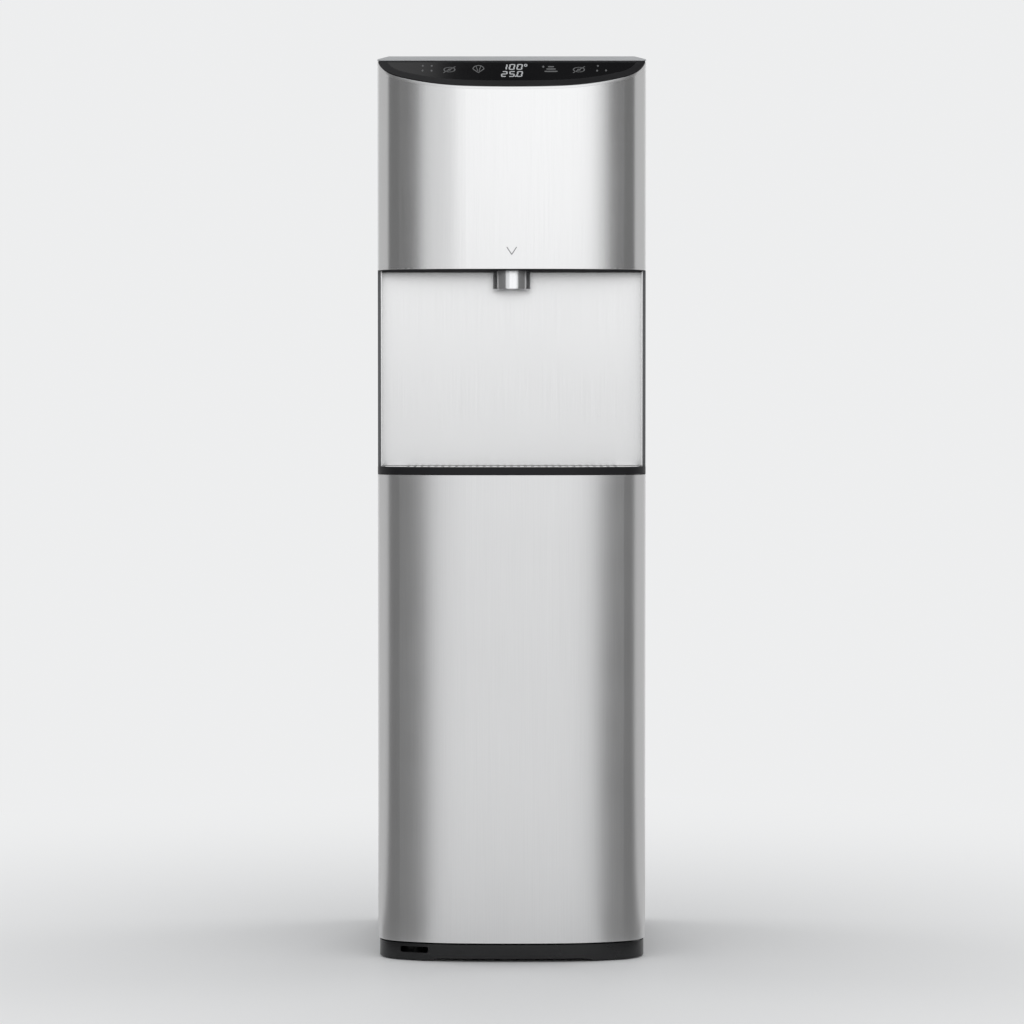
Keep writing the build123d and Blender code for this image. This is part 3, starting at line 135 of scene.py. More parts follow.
# Camera and pale surround
CAMERA_PLACE = (0.0003, -4.19, 0.6444)
CAMERA_TILT = math.radians(90.0 - 1.827)
CAMERA_LENS = 123.27
CAMERA_SENSOR = 36.0
PALE = (0.85, 0.855, 0.86)
SURROUND_LIGHT = 0.62
FLOOR_RADIUS = 9.0
FLOOR_FADE = (0.15, 1.5)

# Lamps: name, place, point aimed at, width, height, power, and whether the steel mirrors it
LAMPS = [("front_box", (0.55, -3.8, 1.85), (0.0, 0.0, 0.80), 3.1, 2.2, 8.8, True),
         ("top_box", (0.0, -0.6, 3.2), (0.0, 0.0, 0.6), 2.4, 2.4, 9.0, False),
         ("left_box", (-3.0, 1.2, 1.6), (0.0, 0.0, 0.6), 1.4, 2.2, 20.0, False),
         ("right_box", (3.0, 1.2, 1.6), (0.0, 0.0, 0.6), 1.4, 2.2, 20.0, False),
         ("rear_box", (0.0, 3.2, 2.2), (0.0, 0.0, 0.6), 2.2, 1.8, 26.0, False)]

# Dark flags and grey cards round the dispenser. Each side has its way, the flag's start below and
# above the split, and its end, in degrees from the front; the card runs on from there.
SIDES = [("left", -1, 29, 33.5, 84), ("right", 1, 31, 36, 82)]
FLAG_TONE = 0.19
FLAG_SPLIT = 0.62
CARD_TONE = 0.58
CARD_END = 145
CARD_TOP = 3.2
CARD_REACH = 2.2
CARD_NEAR = 0.12
CARD_LIFT = 0.003

# Cards above the control panel: name, place, size and tone
PANEL_CARDS = [("panel_flag", (1.38, 0.85, 2.5), (3.0, 1.9), 0.06),
               ("panel_card", (-0.62, 0.85, 2.5), (1.0, 1.9), 0.52)]

# Solids whose finish differs from that of their slot; the head's underplate takes a darker black
# with its reflection nearly off, which paints the shade under the head
OWN_FINISH = {"recess_panel": "fine_steel", "upper_front_panel": "fine_steel",
              "head_underplate": "black_painted_shade", "base_plinth": "plinth_satin"}

# Spans of a pattern's tone and sheen that are spread over a finish's colours and roughness
TONE_SPAN = (0.3, 0.7)
SHEEN_SPAN = (0.25, 0.75)


# Materials
def math_in(tree, operation, first, second):
    """One maths step between two values or sockets."""
    node = tree.nodes.new("ShaderNodeMath")
    node.operation = operation
    for number, value in enumerate((first, second)):
        if isinstance(value, (int, float)):
            node.inputs[number].default_value = value
        else:
            tree.links.new(value, node.inputs[number])
    return node.outputs[0]


def share_in(tree, first, share, second):
    """Two values mixed by the first one's share."""
    return math_in(tree, "ADD", math_in(tree, "MULTIPLY", first, share),
                   math_in(tree, "MULTIPLY", second, 1.0 - share))


def noise_in(tree, place, scale, detail, roughness=0.5):
    """Noise texture inside a pattern, at a fixed scale or one that comes from a socket."""
    node = tree.nodes.new("ShaderNodeTexNoise")
    node.inputs["Detail"].default_value = detail
    node.inputs["Roughness"].default_value = roughness
    tree.links.new(place, node.inputs["Vector"])
    if isinstance(scale, (int, float)):
        node.inputs["Scale"].default_value = scale
    else:
        tree.links.new(scale, node.inputs["Scale"])
    return node.outputs[0]


def mix_in(tree, mask, first, second):
    """Two shaders mixed by a mask."""
    mix = tree.nodes.new("ShaderNodeMixShader")
    for number, socket in enumerate((mask, first, second)):
        tree.links.new(socket, mix.inputs[number])
    return mix.outputs[0]


def seen_rays(tree):
    """A mask of the rays that show the background: camera, mirror and see-through rays."""
    path = tree.nodes.new("ShaderNodeLightPath")
    seen = path.outputs["Is Camera Ray"]
    for label in ("Is Glossy Ray", "Is Transmission Ray"):
        seen = math_in(tree, "MAXIMUM", seen, path.outputs[label])
    return seen


def empty_material(name):
    """A material with nothing but its output."""
    material = bpy.data.materials.new(name)
    material.use_nodes = True
    tree = material.node_tree
    tree.nodes.clear()
    return material, tree, tree.nodes.new("ShaderNodeOutputMaterial")


# Surface patterns, each a node group that gives a tone, a sheen and a height
def pattern_group(name, inputs):
    """An empty pattern with a place input, its own sizes and the three common outputs."""
    tree = bpy.data.node_groups.new(name, "ShaderNodeTree")
    tree.interface.new_socket("Place", in_out="INPUT", socket_type="NodeSocketVector")
    for label, value in inputs:
        socket = tree.interface.new_socket(label, in_out="INPUT", socket_type="NodeSocketFloat")
        socket.default_value = value
    for label in ("Tone", "Sheen", "Height"):
        tree.interface.new_socket(label, in_out="OUTPUT", socket_type="NodeSocketFloat")
    return tree, tree.nodes.new("NodeGroupInput").outputs


def put_out(tree, tone, sheen, height):
    """Connect a pattern's three outputs."""
    result = tree.nodes.new("NodeGroupOutput")
    for label, value in (("Tone", tone), ("Sheen", sheen), ("Height", height)):
        tree.links.new(value, result.inputs[label])


def brushed_pattern():
    """Upright brush lines with slow clouds in their sheen, as on grained stainless sheet."""
    tree, source = pattern_group("brushed_grain",
                                 [("Across", 1400.0), ("Along", 9.0), ("Cloud", 9.0)])
    stretch = tree.nodes.new("ShaderNodeCombineXYZ")
    for axis, label in (("X", "Across"), ("Y", "Across"), ("Z", "Along")):
        tree.links.new(source[label], stretch.inputs[axis])
    scaled = tree.nodes.new("ShaderNodeVectorMath")
    scaled.operation = "MULTIPLY"
    tree.links.new(source["Place"], scaled.inputs[0])
    tree.links.new(stretch.outputs[0], scaled.inputs[1])
    lines = noise_in(tree, scaled.outputs[0], 1.0, 2.0)
    clouds = noise_in(tree, source["Place"], source["Cloud"], 3.0)
    put_out(tree, share_in(tree, lines, 0.6, clouds), share_in(tree, lines, 0.35, clouds), lines)


def moulded_pattern():
    """Fine spark-eroded grain of moulded plastic, with faint flow clouds."""
    tree, source = pattern_group("moulded_grain", [("Grain", 1800.0), ("Cloud", 14.0)])
    grain = noise_in(tree, source["Place"], source["Grain"], 2.0, 0.6)
    clouds = noise_in(tree, source["Place"], source["Cloud"], 3.0)
    put_out(tree, share_in(tree, grain, 0.3, clouds), clouds, grain)


def spangle_pattern():
    """Crystal flakes of galvanised sheet."""
    tree, source = pattern_group("zinc_spangle", [("Flake", 90.0), ("Cloud", 10.0)])
    flakes = tree.nodes.new("ShaderNodeTexVoronoi")
    tree.links.new(source["Place"], flakes.inputs["Vector"])
    tree.links.new(source["Flake"], flakes.inputs["Scale"])
    grey = tree.nodes.new("ShaderNodeRGBToBW")
    tree.links.new(flakes.outputs["Color"], grey.inputs[0])
    clouds = noise_in(tree, source["Place"], source["Cloud"], 3.0)
    put_out(tree, share_in(tree, grey.outputs[0], 0.55, clouds), grey.outputs[0], clouds)


def cell_pattern():
    """Closed cells of foam and the mottled skin of rubber."""
    tree, source = pattern_group("soft_cells", [("Cell", 600.0), ("Cloud", 20.0)])
    cells = tree.nodes.new("ShaderNodeTexVoronoi")
    cells.feature = "SMOOTH_F1"
    tree.links.new(source["Place"], cells.inputs["Vector"])
    tree.links.new(source["Cell"], cells.inputs["Scale"])
    clouds = noise_in(tree, source["Place"], source["Cloud"], 2.0)
    walls = cells.outputs["Distance"]
    put_out(tree, share_in(tree, walls, 0.5, clouds), clouds, walls)


def make_finish(name, pattern, sizes, tones, rough, metallic=0.0, bump=0.1, depth=0.0002,
                **sockets):
    """A surface finish: pattern tones into colour and roughness, its height into a fine bump."""
    material, tree, out = empty_material(name)
    shader = tree.nodes.new("ShaderNodeBsdfPrincipled")
    tree.links.new(shader.outputs[0], out.inputs["Surface"])
    place = tree.nodes.new("ShaderNodeTexCoord")
    effect = tree.nodes.new("ShaderNodeGroup")
    effect.node_tree = bpy.data.node_groups[pattern]
    for label, value in sizes.items():
        effect.inputs[label].default_value = value
    tree.links.new(place.outputs["Object"], effect.inputs["Place"])
    ramp = tree.nodes.new("ShaderNodeValToRGB")
    for stop, position, tone in zip(ramp.color_ramp.elements, TONE_SPAN, tones):
        stop.position = position
        stop.color = (*tone, 1.0)
    tree.links.new(effect.outputs["Tone"], ramp.inputs["Fac"])
    tree.links.new(ramp.outputs["Color"], shader.inputs["Base Color"])
    spread = tree.nodes.new("ShaderNodeMapRange")
    for label, value in zip(("From Min", "From Max", "To Min", "To Max"), (*SHEEN_SPAN, *rough)):
        spread.inputs[label].default_value = value
    tree.links.new(effect.outputs["Sheen"], spread.inputs["Value"])
    tree.links.new(spread.outputs[0], shader.inputs["Roughness"])
    relief = tree.nodes.new("ShaderNodeBump")
    relief.inputs["Strength"].default_value = bump
    relief.inputs["Distance"].default_value = depth
    tree.links.new(effect.outputs["Height"], relief.inputs["Height"])
    tree.links.new(relief.outputs[0], shader.inputs["Normal"])
    shader.inputs["Metallic"].default_value = metallic
    for label, value in sockets.items():
        shader.inputs[label.replace("_", " ")].default_value = value
    return material


def plastic(tones, rough, bump, grain, **sockets):
    """Values of a moulded or painted finish."""
    return dict(pattern="moulded_grain", sizes=grain, tones=tones, rough=rough, bump=bump,
                **sockets)


def metal(tones, rough, bump, grain):
    """Values of a brushed or drawn metal finish."""
    return dict(pattern="brushed_grain", sizes=grain, tones=tones, rough=rough, metallic=1.0,
                bump=bump, depth=0.0001)


def make_finishes():
    """Every finish on the dispenser, by name; most are named after their material slot."""
    for build in (brushed_pattern, moulded_pattern, spangle_pattern, cell_pattern):
        build()
    fine = {"Grain": 2200.0, "Cloud": 14.0}
    coarse = {"Grain": 1100.0, "Cloud": 9.0}
    polished = {"Grain": 60.0, "Cloud": 10.0}
    clear = {"Grain": 500.0, "Cloud": 30.0}
    grained = {"Across": 1500.0, "Along": 10.0, "Cloud": 8.0}
    drawn = {"Across": 700.0, "Along": 40.0, "Cloud": 25.0}
    sheet = ((0.74, 0.74, 0.742), (0.79, 0.79, 0.792))
    key_coat = {"Coat_Weight": 0.3, "Coat_Roughness": 0.15}
    finishes = {
        "stainless": metal(sheet, (0.27, 0.33), 0.03, grained),
        "fine_steel": metal(sheet, (0.20, 0.25), 0.03, grained),
        "spout_chrome": metal(((0.78, 0.78, 0.79), (0.86, 0.86, 0.87)), (0.14, 0.20), 0.02, drawn),
        "black_satin": plastic(((0.012, 0.012, 0.013), (0.022, 0.022, 0.024)), (0.38, 0.52), 0.12,
                               fine, Specular_IOR_Level=0.2),
        # Painted shade: a darker copy of the black plastic, its reflection nearly off, for the
        # underplate in the shade of the head
        "black_painted_shade": plastic(((0.010, 0.010, 0.011), (0.018, 0.018, 0.020)), (0.60, 0.72), 0.12,
                              fine, Specular_IOR_Level=0.02),
        "plinth_satin": plastic(((0.006, 0.006, 0.007), (0.012, 0.012, 0.013)), (0.22, 0.30), 0.06,
                                fine, Specular_IOR_Level=0.45),
        "black_gloss": plastic(((0.004, 0.004, 0.005), (0.007, 0.007, 0.008)), (0.08, 0.14), 0.01,
                               polished, Specular_IOR_Level=0.4),
        "side_paint": plastic(((0.105, 0.108, 0.112), (0.130, 0.133, 0.138)), (0.36, 0.48), 0.16,
                              coarse, Coat_Weight=0.15, Coat_Roughness=0.3),
        "cover_silver": plastic(((0.50, 0.51, 0.52), (0.58, 0.59, 0.60)), (0.32, 0.42), 0.10, fine,
                                metallic=0.35),
        "zinc_sheet": dict(pattern="zinc_spangle", sizes={"Flake": 150.0, "Cloud": 12.0},
                           tones=((0.46, 0.47, 0.48), (0.57, 0.58, 0.59)), rough=(0.36, 0.50),
                           metallic=0.85, bump=0.05),
        "hardware_steel": metal(((0.52, 0.52, 0.51), (0.66, 0.66, 0.65)), (0.24, 0.38), 0.05,
                                drawn),
        "tank_steel": metal(((0.58, 0.58, 0.58), (0.70, 0.70, 0.70)), (0.18, 0.30), 0.04, drawn),
        "black_enamel": plastic(((0.010, 0.010, 0.010), (0.020, 0.020, 0.021)), (0.25, 0.40), 0.10,
                                coarse, Coat_Weight=0.3, Coat_Roughness=0.2),
        "copper": metal(((0.48, 0.20, 0.10), (0.72, 0.36, 0.22)), (0.22, 0.40), 0.04, drawn),
        "rubber_black": dict(pattern="soft_cells", sizes={"Cell": 1500.0, "Cloud": 40.0},
                             tones=((0.014, 0.014, 0.014), (0.030, 0.030, 0.030)),
                             rough=(0.60, 0.80), bump=0.15),
        "liner_grey": plastic(((0.40, 0.41, 0.42), (0.47, 0.48, 0.49)), (0.40, 0.52), 0.12, coarse),
        "white_plastic": plastic(((0.72, 0.72, 0.69), (0.80, 0.80, 0.77)), (0.34, 0.46), 0.08,
                                 fine),
        "coil_wrap": plastic(((0.03, 0.03, 0.04), (0.06, 0.06, 0.07)), (0.30, 0.42), 0.08, fine),
        "foam": dict(pattern="soft_cells", sizes={"Cell": 500.0, "Cloud": 15.0},
                     tones=((0.05, 0.05, 0.055), (0.11, 0.11, 0.115)), rough=(0.75, 0.92),
                     bump=0.3, depth=0.0004),
        "silicone": plastic(((0.66, 0.68, 0.66), (0.80, 0.81, 0.79)), (0.22, 0.34), 0.03, clear,
                            Coat_Weight=0.2, Coat_Roughness=0.2),
        "board_green": plastic(((0.010, 0.07, 0.03), (0.02, 0.13, 0.06)), (0.30, 0.45), 0.05, fine),
        "switch_red": plastic(((0.36, 0.012, 0.010), (0.48, 0.022, 0.018)), (0.18, 0.28), 0.04,
                              fine, **key_coat),
        "switch_green": plastic(((0.010, 0.20, 0.05), (0.020, 0.28, 0.08)), (0.18, 0.28), 0.04,
                                fine, **key_coat),
        "ferrite": plastic(((0.025, 0.025, 0.027), (0.05, 0.05, 0.053)), (0.50, 0.70), 0.2, coarse),
        "panel_print": plastic(((0.13, 0.132, 0.136), (0.17, 0.172, 0.176)), (0.40, 0.50), 0.02,
                               fine),
        "panel_glow": plastic(((0.44, 0.45, 0.46), (0.52, 0.53, 0.54)), (0.40, 0.50), 0.02, fine,
                              Emission_Color=(0.80, 0.83, 0.86, 1.0), Emission_Strength=0.10),
        "grey_print": plastic(((0.36, 0.36, 0.365), (0.42, 0.42, 0.425)), (0.45, 0.55), 0.02, fine),
    }
    return {name: make_finish(name, **values) for name, values in finishes.items()}


def dress_solids(finishes):
    """Give each carried-over solid the finish of its slot, or its own."""
    for entry in frame["record"]["subparts"]:
        solid = frame["nodes"][entry["node"]]
        finish = finishes[OWN_FINISH.get(entry["node"], entry["material_slot"])]
        if solid.material_slots:
            for slot in solid.material_slots:
                slot.material = finish
        else:
            solid.data.materials.append(finish)


# Modelling helpers
def clear_pick():
    """Leave nothing selected before a new primitive is added."""
    bpy.ops.object.select_all(action="DESELECT")


def apply_place():
    """Apply the picked piece's place, turn and scale to its mesh."""
    bpy.ops.object.transform_apply(location=True, rotation=True, scale=True)


def settle(piece, name, smooth=30.0):
    """Name a piece, apply its place to its mesh and shade it."""
    piece.name = name
    piece.data.name = name
    apply_place()
    bpy.ops.object.shade_smooth_by_angle(angle=math.radians(smooth))


# Studio: camera, lamps, surround, floor and the cards that the steel reflects
def place_camera():
    """Camera at the height and distance that give the photograph's slight perspective."""
    data = bpy.data.cameras.new("front_camera")
    data.sensor_width = CAMERA_SENSOR
    data.lens = CAMERA_LENS
    camera = bpy.data.objects.new("front_camera", data)
    camera.location = CAMERA_PLACE
    camera.rotation_euler = (CAMERA_TILT, 0.0, 0.0)
    scene.collection.objects.link(camera)
    scene.camera = camera


def soft_box(name, place, aim, width, height, power, mirrored):
    """One rectangular studio lamp turned towards a point, in reflections only where mirrored."""
    data = bpy.data.lights.new(name, "AREA")
    data.shape = "RECTANGLE"
    data.size = width
    data.size_y = height
    data.energy = power
    lamp = bpy.data.objects.new(name, data)
    lamp.location = place
    lamp.rotation_euler = (Vector(aim) - Vector(place)).to_track_quat("-Z", "Y").to_euler()
    lamp.visible_glossy = mirrored
    scene.collection.objects.link(lamp)


def world_light():
    """Even pale surround that lights the dispenser less than it shows."""
    world = bpy.data.worlds.new("pale_studio")
    scene.world = world
    world.use_nodes = True
    tree = world.node_tree
    tree.nodes.clear()
    out = tree.nodes.new("ShaderNodeOutputWorld")
    tones = []
    for strength in (SURROUND_LIGHT, 1.0):
        tone = tree.nodes.new("ShaderNodeBackground")
        tone.inputs["Color"].default_value = (*PALE, 1.0)
        tone.inputs["Strength"].default_value = strength
        tones.append(tone.outputs[0])
    tree.links.new(mix_in(tree, seen_rays(tree), *tones), out.inputs["Surface"])


def floor_paper():
    """Pale paper that shows at the background's tone and keeps the dispenser's soft shadow."""
    material, tree, out = empty_material("floor_paper")
    paper = tree.nodes.new("ShaderNodeBsdfDiffuse")
    even = tree.nodes.new("ShaderNodeEmission")
    for shader in (paper, even):
        shader.inputs["Color"].default_value = (*PALE, 1.0)
    place = tree.nodes.new("ShaderNodeTexCoord")
    away = tree.nodes.new("ShaderNodeVectorMath")
    away.operation = "LENGTH"
    tree.links.new(place.outputs["Object"], away.inputs[0])
    fade = tree.nodes.new("ShaderNodeMapRange")
    fade.interpolation_type = "SMOOTHSTEP"
    fade.inputs["From Min"].default_value, fade.inputs["From Max"].default_value = FLOOR_FADE
    tree.links.new(away.outputs["Value"], fade.inputs["Value"])
    mask = math_in(tree, "MULTIPLY", seen_rays(tree), fade.outputs[0])
    tree.links.new(mix_in(tree, mask, paper.outputs[0], even.outputs[0]), out.inputs["Surface"])
    return material


def studio_floor():
    """Wide pale floor that fades into the surround."""
    clear_pick()
    bpy.ops.mesh.primitive_circle_add(vertices=64, radius=FLOOR_RADIUS, fill_type="NGON",
                                      location=(0.0, 0.0, 0.0))
    floor = bpy.context.object
    settle(floor, "studio_floor", 60.0)
    floor.data.materials.append(floor_paper())


def reflected_card(name, place, size, turn, tone, near=1.0):
    """Flat studio card seen only in reflections; near narrows its edge on local -Y."""
    clear_pick()
    bpy.ops.mesh.primitive_plane_add(size=1.0, location=place, rotation=turn)
    card = bpy.context.object
    bpy.ops.object.mode_set(mode="EDIT")
    mesh = bmesh.from_edit_mesh(card.data)
    for vert in mesh.verts:
        if vert.co.y < 0:
            vert.co.x *= near
    bmesh.update_edit_mesh(card.data)
    bpy.ops.object.mode_set(mode="OBJECT")
    card.scale = (*size, 1.0)
    settle(card, name)
    material, tree, out = empty_material(name)
    glow = tree.nodes.new("ShaderNodeEmission")
    glow.inputs["Color"].default_value = (tone, tone, tone, 1.0)
    tree.links.new(glow.outputs[0], out.inputs["Surface"])
    card.data.materials.append(material)
    card.visible_camera = False
    card.visible_diffuse = False
    card.visible_shadow = False
    card.visible_transmission = False


def card_span(start, end):
    """Turn, direction and width at full reach of a card between two angles from the front."""
    middle, half = math.radians(start + end) / 2, math.radians(abs(end - start)) / 2
    direction = Vector((math.sin(middle), -math.cos(middle), 0.0))
    return middle, direction, 2 * CARD_REACH * math.tan(half)


def upright_card(name, start, end, low, high, tone):
    """A card that stands round the dispenser between two directions, in degrees from the front."""
    middle, direction, wide = card_span(start, end)
    place = direction * CARD_REACH + Vector((0, 0, (low + high) / 2))
    reflected_card(name, place, (wide, high - low), (math.radians(90), 0, middle), tone)


def floor_card(name, start, end, tone):
    """The strip of floor in front of an upright card, narrow near the dispenser."""
    middle, direction, wide = card_span(start, end)
    place = direction * CARD_REACH * (1 + CARD_NEAR) / 2 + Vector((0, 0, CARD_LIFT))
    reflected_card(name, place, (wide, CARD_REACH * (1 - CARD_NEAR)), (0, 0, middle + math.pi),
                   tone, CARD_NEAR)


def light_studio():
    """Pale surround, soft lamps, dark flags and grey cards at the sides, cards over the panel."""
    world_light()
    studio_floor()
    for lamp in LAMPS:
        soft_box(*lamp)
    for side, way, low_start, high_start, end in SIDES:
        low, high, far, last = way * low_start, way * high_start, way * end, way * CARD_END
        upright_card(side + "_low_flag", low, far, 0.0, FLAG_SPLIT, FLAG_TONE)
        upright_card(side + "_high_flag", high, far, FLAG_SPLIT, CARD_TOP, FLAG_TONE)
        floor_card(side + "_floor_flag", low, far, FLAG_TONE)
        upright_card(side + "_card", far, last, 0.0, CARD_TOP, CARD_TONE)
        floor_card(side + "_floor_card", far, last, CARD_TONE)
    for name, place, size, tone in PANEL_CARDS:
        reflected_card(name, place, size, (0, 0, 0), tone)


# Print and lit digits on the control panel, drawn flat and then laid on its slope
def flat_stroke(x, y, wide, tall, turn=0.0):
    """A stroke with rounded ends, flat on the panel."""
    clear_pick()
    bpy.ops.mesh.primitive_plane_add(size=1.0)
    stroke = bpy.context.object
    stroke.scale = (wide, tall, 1.0)
    apply_place()
    bpy.ops.object.mode_set(mode="EDIT")
    bpy.ops.mesh.select_all(action="SELECT")
    bpy.ops.mesh.bevel(offset=min(wide, tall) * STROKE_ROUND, segments=3, affect="VERTICES")
    bpy.ops.object.mode_set(mode="OBJECT")
    stroke.location = (x, y, 0.0)
    stroke.rotation_euler = (0.0, 0.0, turn)
    apply_place()
    return stroke


def flat_dot(x, y, wide, tall):
    """A filled round dot, flat on the panel."""
    clear_pick()
    bpy.ops.mesh.primitive_circle_add(vertices=20, radius=0.5, fill_type="NGON")
    dot = bpy.context.object
    dot.scale = (wide, tall, 1.0)
    dot.location = (x, y, 0.0)
    apply_place()
    return dot


def flat_ring(x, y, wide, tall, line, point=0.0):
    """A ring, flat on the panel; point narrows its lower half like a shell."""
    ring = flat_dot(0.0, 0.0, 1.0, 1.0)
    bpy.ops.object.mode_set(mode="EDIT")
    mesh = bmesh.from_edit_mesh(ring.data)
    for vert in mesh.verts:
        if vert.co.y < 0:
            vert.co.x *= 1.0 + point * vert.co.y
    bmesh.update_edit_mesh(ring.data)
    bpy.ops.mesh.select_all(action="SELECT")
    bpy.ops.mesh.inset(thickness=line / wide)
    bpy.ops.mesh.delete(type="FACE")
    bpy.ops.object.mode_set(mode="OBJECT")
    ring.scale = (wide, tall, 1.0)
    ring.location = (x, y, 0.0)
    apply_place()
    return ring


def lay_print(name, strokes, place, turn, finish):
    """Join strokes into one printed mark, lay it on the cabinet's face and thicken it."""
    clear_pick()
    for stroke in strokes:
        stroke.select_set(True)
    bpy.context.view_layer.objects.active = strokes[0]
    bpy.ops.object.join()
    mark = bpy.context.object
    mark.location = place
    mark.rotation_euler = turn
    skin = mark.modifiers.new("print", "SOLIDIFY")
    skin.thickness = PRINT_THICK
    skin.offset = 1.0
    bpy.ops.object.modifier_apply(modifier="print")
    settle(mark, name)
    mark.data.materials.append(finish)
    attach(mark, "cabinet")


def lit_digit(x, y, wide, tall, figure):
    """The lit strokes of one seven-stroke figure, leaning to the right."""
    line, rise = wide * UPRIGHT_SHARE, tall * LEVEL_SHARE
    strokes = []
    for segment in LIT_STROKES[figure]:
        across, up, level = STROKE_SPOTS[segment]
        place_y = y + up * (tall - rise) / 2
        place_x = x + across * (wide - line) / 2 + DIGIT_LEAN * (place_y - y)
        size = (wide - line, rise) if level else (line, tall / 2 - rise * UPRIGHT_GAP)
        strokes.append(flat_stroke(place_x, place_y, *size))
    return strokes


def key_symbols():
    """Two struck-through rings, a shell with two ribs, and a stack of bars with a dot."""
    symbols = []
    for x, down in STRUCK_KEYS:
        symbols.append(flat_ring(x, -down, *STRUCK_RING, STRUCK_LINE))
        symbols.append(flat_dot(x, -down, *STRUCK_DOT))
        symbols.append(flat_stroke(x, -down, STRUCK_STROKE, STRUCK_LINE, STRUCK_TURN))
    symbols.append(flat_ring(SHELL_X, -SHELL_DOWN, *SHELL_SIZE, SHELL_LINE, SHELL_POINT))
    for way in (-1, 1):
        symbols.append(flat_stroke(SHELL_X + way * RIB_APART, -RIB_DOWN, *RIB_SIZE, way * RIB_TURN))
    for down, wide in STACK_BARS:
        symbols.append(flat_stroke(STACK_X, -down, wide, STACK_LINE))
    symbols.append(flat_dot(STACK_DOT[0], -STACK_DOT[1], *STACK_DOT_SIZE))
    return symbols


def lit_figures():
    """The two temperature rows, with a decimal point and a degree ring."""
    figures = []
    for down, text in DIGIT_ROWS:
        for number, figure in enumerate(text):
            figures += lit_digit(DIGIT_START + number * DIGIT_PITCH, -down, *DIGIT_SIZE, figure)
    figures.append(flat_dot(POINT_PLACE[0], -POINT_PLACE[1], *POINT_SIZE))
    figures.append(flat_ring(DEGREE_PLACE[0], -DEGREE_PLACE[1], *DEGREE_SIZE, DEGREE_LINE))
    return figures


def panel_marks(finishes):
    """Key dots, key symbols and lit figures on the dark lens."""
    turn = (SLOPE_ANGLE, 0.0, 0.0)
    dots = [flat_dot(x, -down, *KEY_DOT_SIZE) for x, down in KEY_DOTS]
    lay_print("panel_dots", dots, SLOPE_BACK, turn, finishes["panel_print"])
    lay_print("panel_symbols", key_symbols(), SLOPE_BACK, turn, finishes["panel_print"])
    lay_print("panel_figures", lit_figures(), SLOPE_BACK, turn, finishes["panel_glow"])


def pour_chevron(finish):
    """Thin arrow head above the spout, printed on the upper front."""
    strokes = [flat_stroke(way * CHEVRON_APART, 0.0, *CHEVRON_STROKE, way * CHEVRON_TURN)
               for way in (-1, 1)]
    place = (0.0, FRONT_Y + PRINT_THICK * CHEVRON_SINK, CHEVRON_Z)
    lay_print("pour_chevron", strokes, place, (math.radians(90), 0.0, 0.0), finish)


# Rolled hems of the stainless skins
def bow_arcs():
    """Centre and turn of each arc of the bowed front's right half, from the middle outwards."""
    sin_crown, cos_crown = math.sin(CROWN_TURN), math.cos(CROWN_TURN)
    sin_turn, cos_turn = math.sin(SHOULDER_TURN), math.cos(SHOULDER_TURN)
    wide = HALF_WIDTH - CROWN_RADIUS * sin_crown
    deep = EDGE_Y - FRONT_Y - CROWN_RADIUS * (1 - cos_crown)
    scale = (sin_turn - sin_crown) * cos_turn - (1 - sin_turn) * (cos_crown - cos_turn)
    shoulder = (wide * cos_turn - (1 - sin_turn) * deep) / scale
    corner = ((sin_turn - sin_crown) * deep - (cos_crown - cos_turn) * wide) / scale
    centre, last, turn = Vector((0.0, FRONT_Y + CROWN_RADIUS, 0.0)), CROWN_RADIUS, 0.0
    arcs = []
    for radius, end in ((CROWN_RADIUS, CROWN_TURN), (shoulder, SHOULDER_TURN),
                        (corner, CORNER_TURN)):
        centre = centre + Vector((math.sin(turn), -math.cos(turn), 0.0)) * (last - radius)
        arcs.append((centre, end - turn))
        last, turn = radius, end
    return arcs


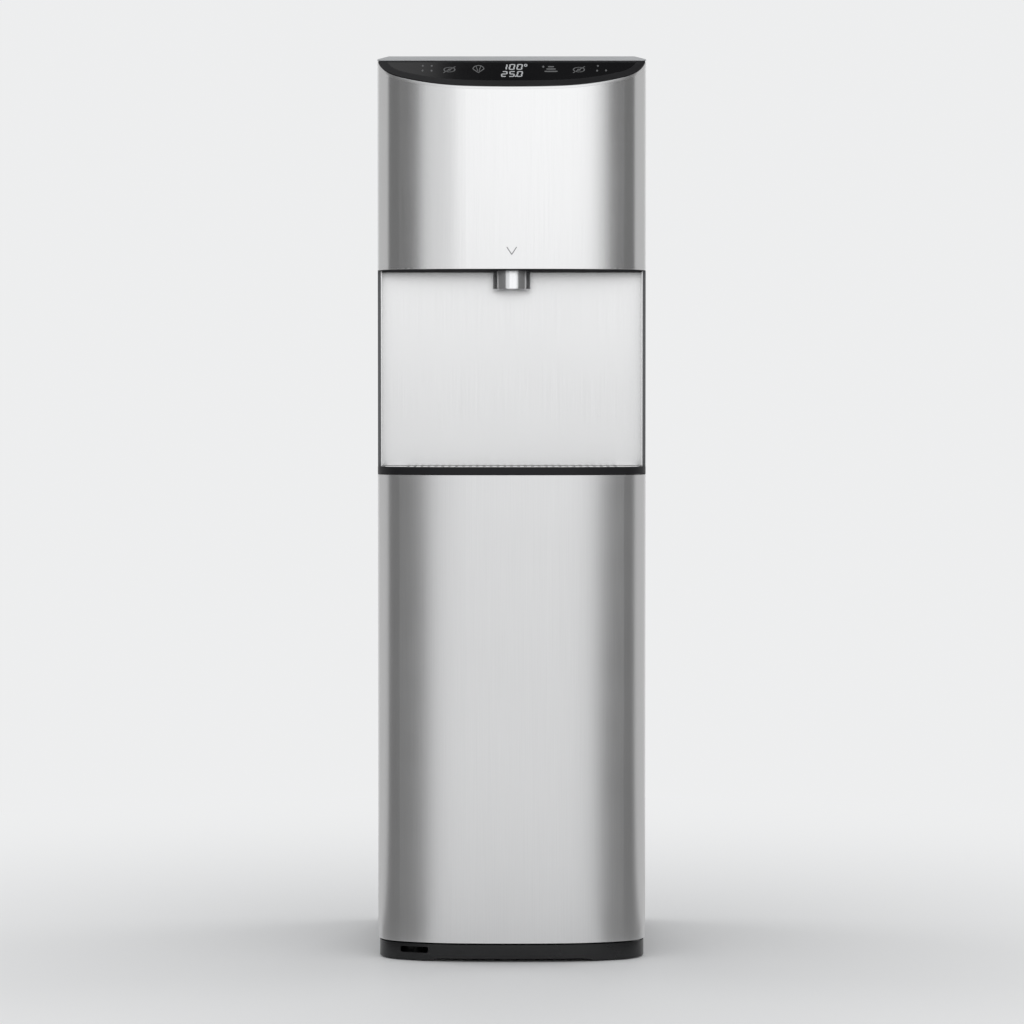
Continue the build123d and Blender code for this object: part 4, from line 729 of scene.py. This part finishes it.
def rolled_hem(name, body, height, tall, deep, rise, finish):
    """Round bead along the bowed front's edge, level or rising with the control panel's slope."""
    clear_pick()
    bpy.ops.mesh.primitive_circle_add(vertices=12, radius=0.5,
                                      location=(0.0, FRONT_Y + deep / 2, height),
                                      rotation=(0.0, math.radians(90), 0.0))
    hem = bpy.context.object
    hem.scale = (tall, deep, 1.0)
    apply_place()
    bpy.ops.object.mode_set(mode="EDIT")
    bpy.ops.mesh.select_all(action="SELECT")
    for (centre, turn), steps in zip(bow_arcs(), HEM_STEPS):
        bpy.ops.mesh.spin(steps=steps, angle=-turn, center=(centre.x, centre.y, height),
                          axis=(0, 0, 1))
    bpy.ops.object.mode_set(mode="OBJECT")
    half = hem.modifiers.new("other_half", "MIRROR")
    half.use_axis = (True, False, False)
    half.merge_threshold = HEM_MERGE
    bpy.ops.object.modifier_apply(modifier="other_half")
    bpy.ops.object.mode_set(mode="EDIT")
    bpy.ops.mesh.select_all(action="SELECT")
    bpy.ops.mesh.remove_doubles(threshold=HEM_MERGE)
    bpy.ops.mesh.fill_holes(sides=0)
    mesh = bmesh.from_edit_mesh(hem.data)
    for vert in mesh.verts:
        vert.co.z += min(rise * (vert.co.y - FRONT_Y), SLOPE_BACK.z - SLOPE_FRONT.z)
    bmesh.update_edit_mesh(hem.data)
    bpy.ops.mesh.select_all(action="SELECT")
    bpy.ops.mesh.normals_make_consistent(inside=False)
    bpy.ops.object.mode_set(mode="OBJECT")
    settle(hem, name)
    hem.data.materials.append(finish)
    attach(hem, body)


def probe_hose(finish):
    """Silicone hose from the probe's cap to the pump, in place of the solid model's hose."""
    clear_pick()
    line = bpy.data.curves.new("probe_line", "CURVE")
    line.dimensions = "3D"
    line.resolution_u = 16
    run = line.splines.new("NURBS")
    run.points.add(len(HOSE_ROUTE) - 1)
    for point, place in zip(run.points, HOSE_ROUTE):
        point.co = (*place, 1.0)
    run.order_u = 3
    run.use_endpoint_u = True
    hose = bpy.data.objects.new("probe_line", line)
    scene.collection.objects.link(hose)
    middle_line = bpy.data.meshes.new_from_object(hose)
    bpy.data.meshes.remove(middle_line)
    line.bevel_depth = HOSE_DIAMETER / 2
    line.bevel_resolution = 5
    line.use_fill_caps = True
    hose.select_set(True)
    bpy.context.view_layer.objects.active = hose
    bpy.ops.object.convert(target="MESH")
    hose = bpy.context.object
    settle(hose, "probe_line", 50.0)
    hose.data.materials.clear()
    hose.data.materials.append(finish)
    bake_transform(hose)
    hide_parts("probe_hose")


place_camera()
light_studio()
finishes = make_finishes()
dress_solids(finishes)
probe_hose(finishes["silicone"])
panel_marks(finishes)
pour_chevron(finishes["grey_print"])
for hem in HEMS:
    rolled_hem(*hem, finishes["stainless"])
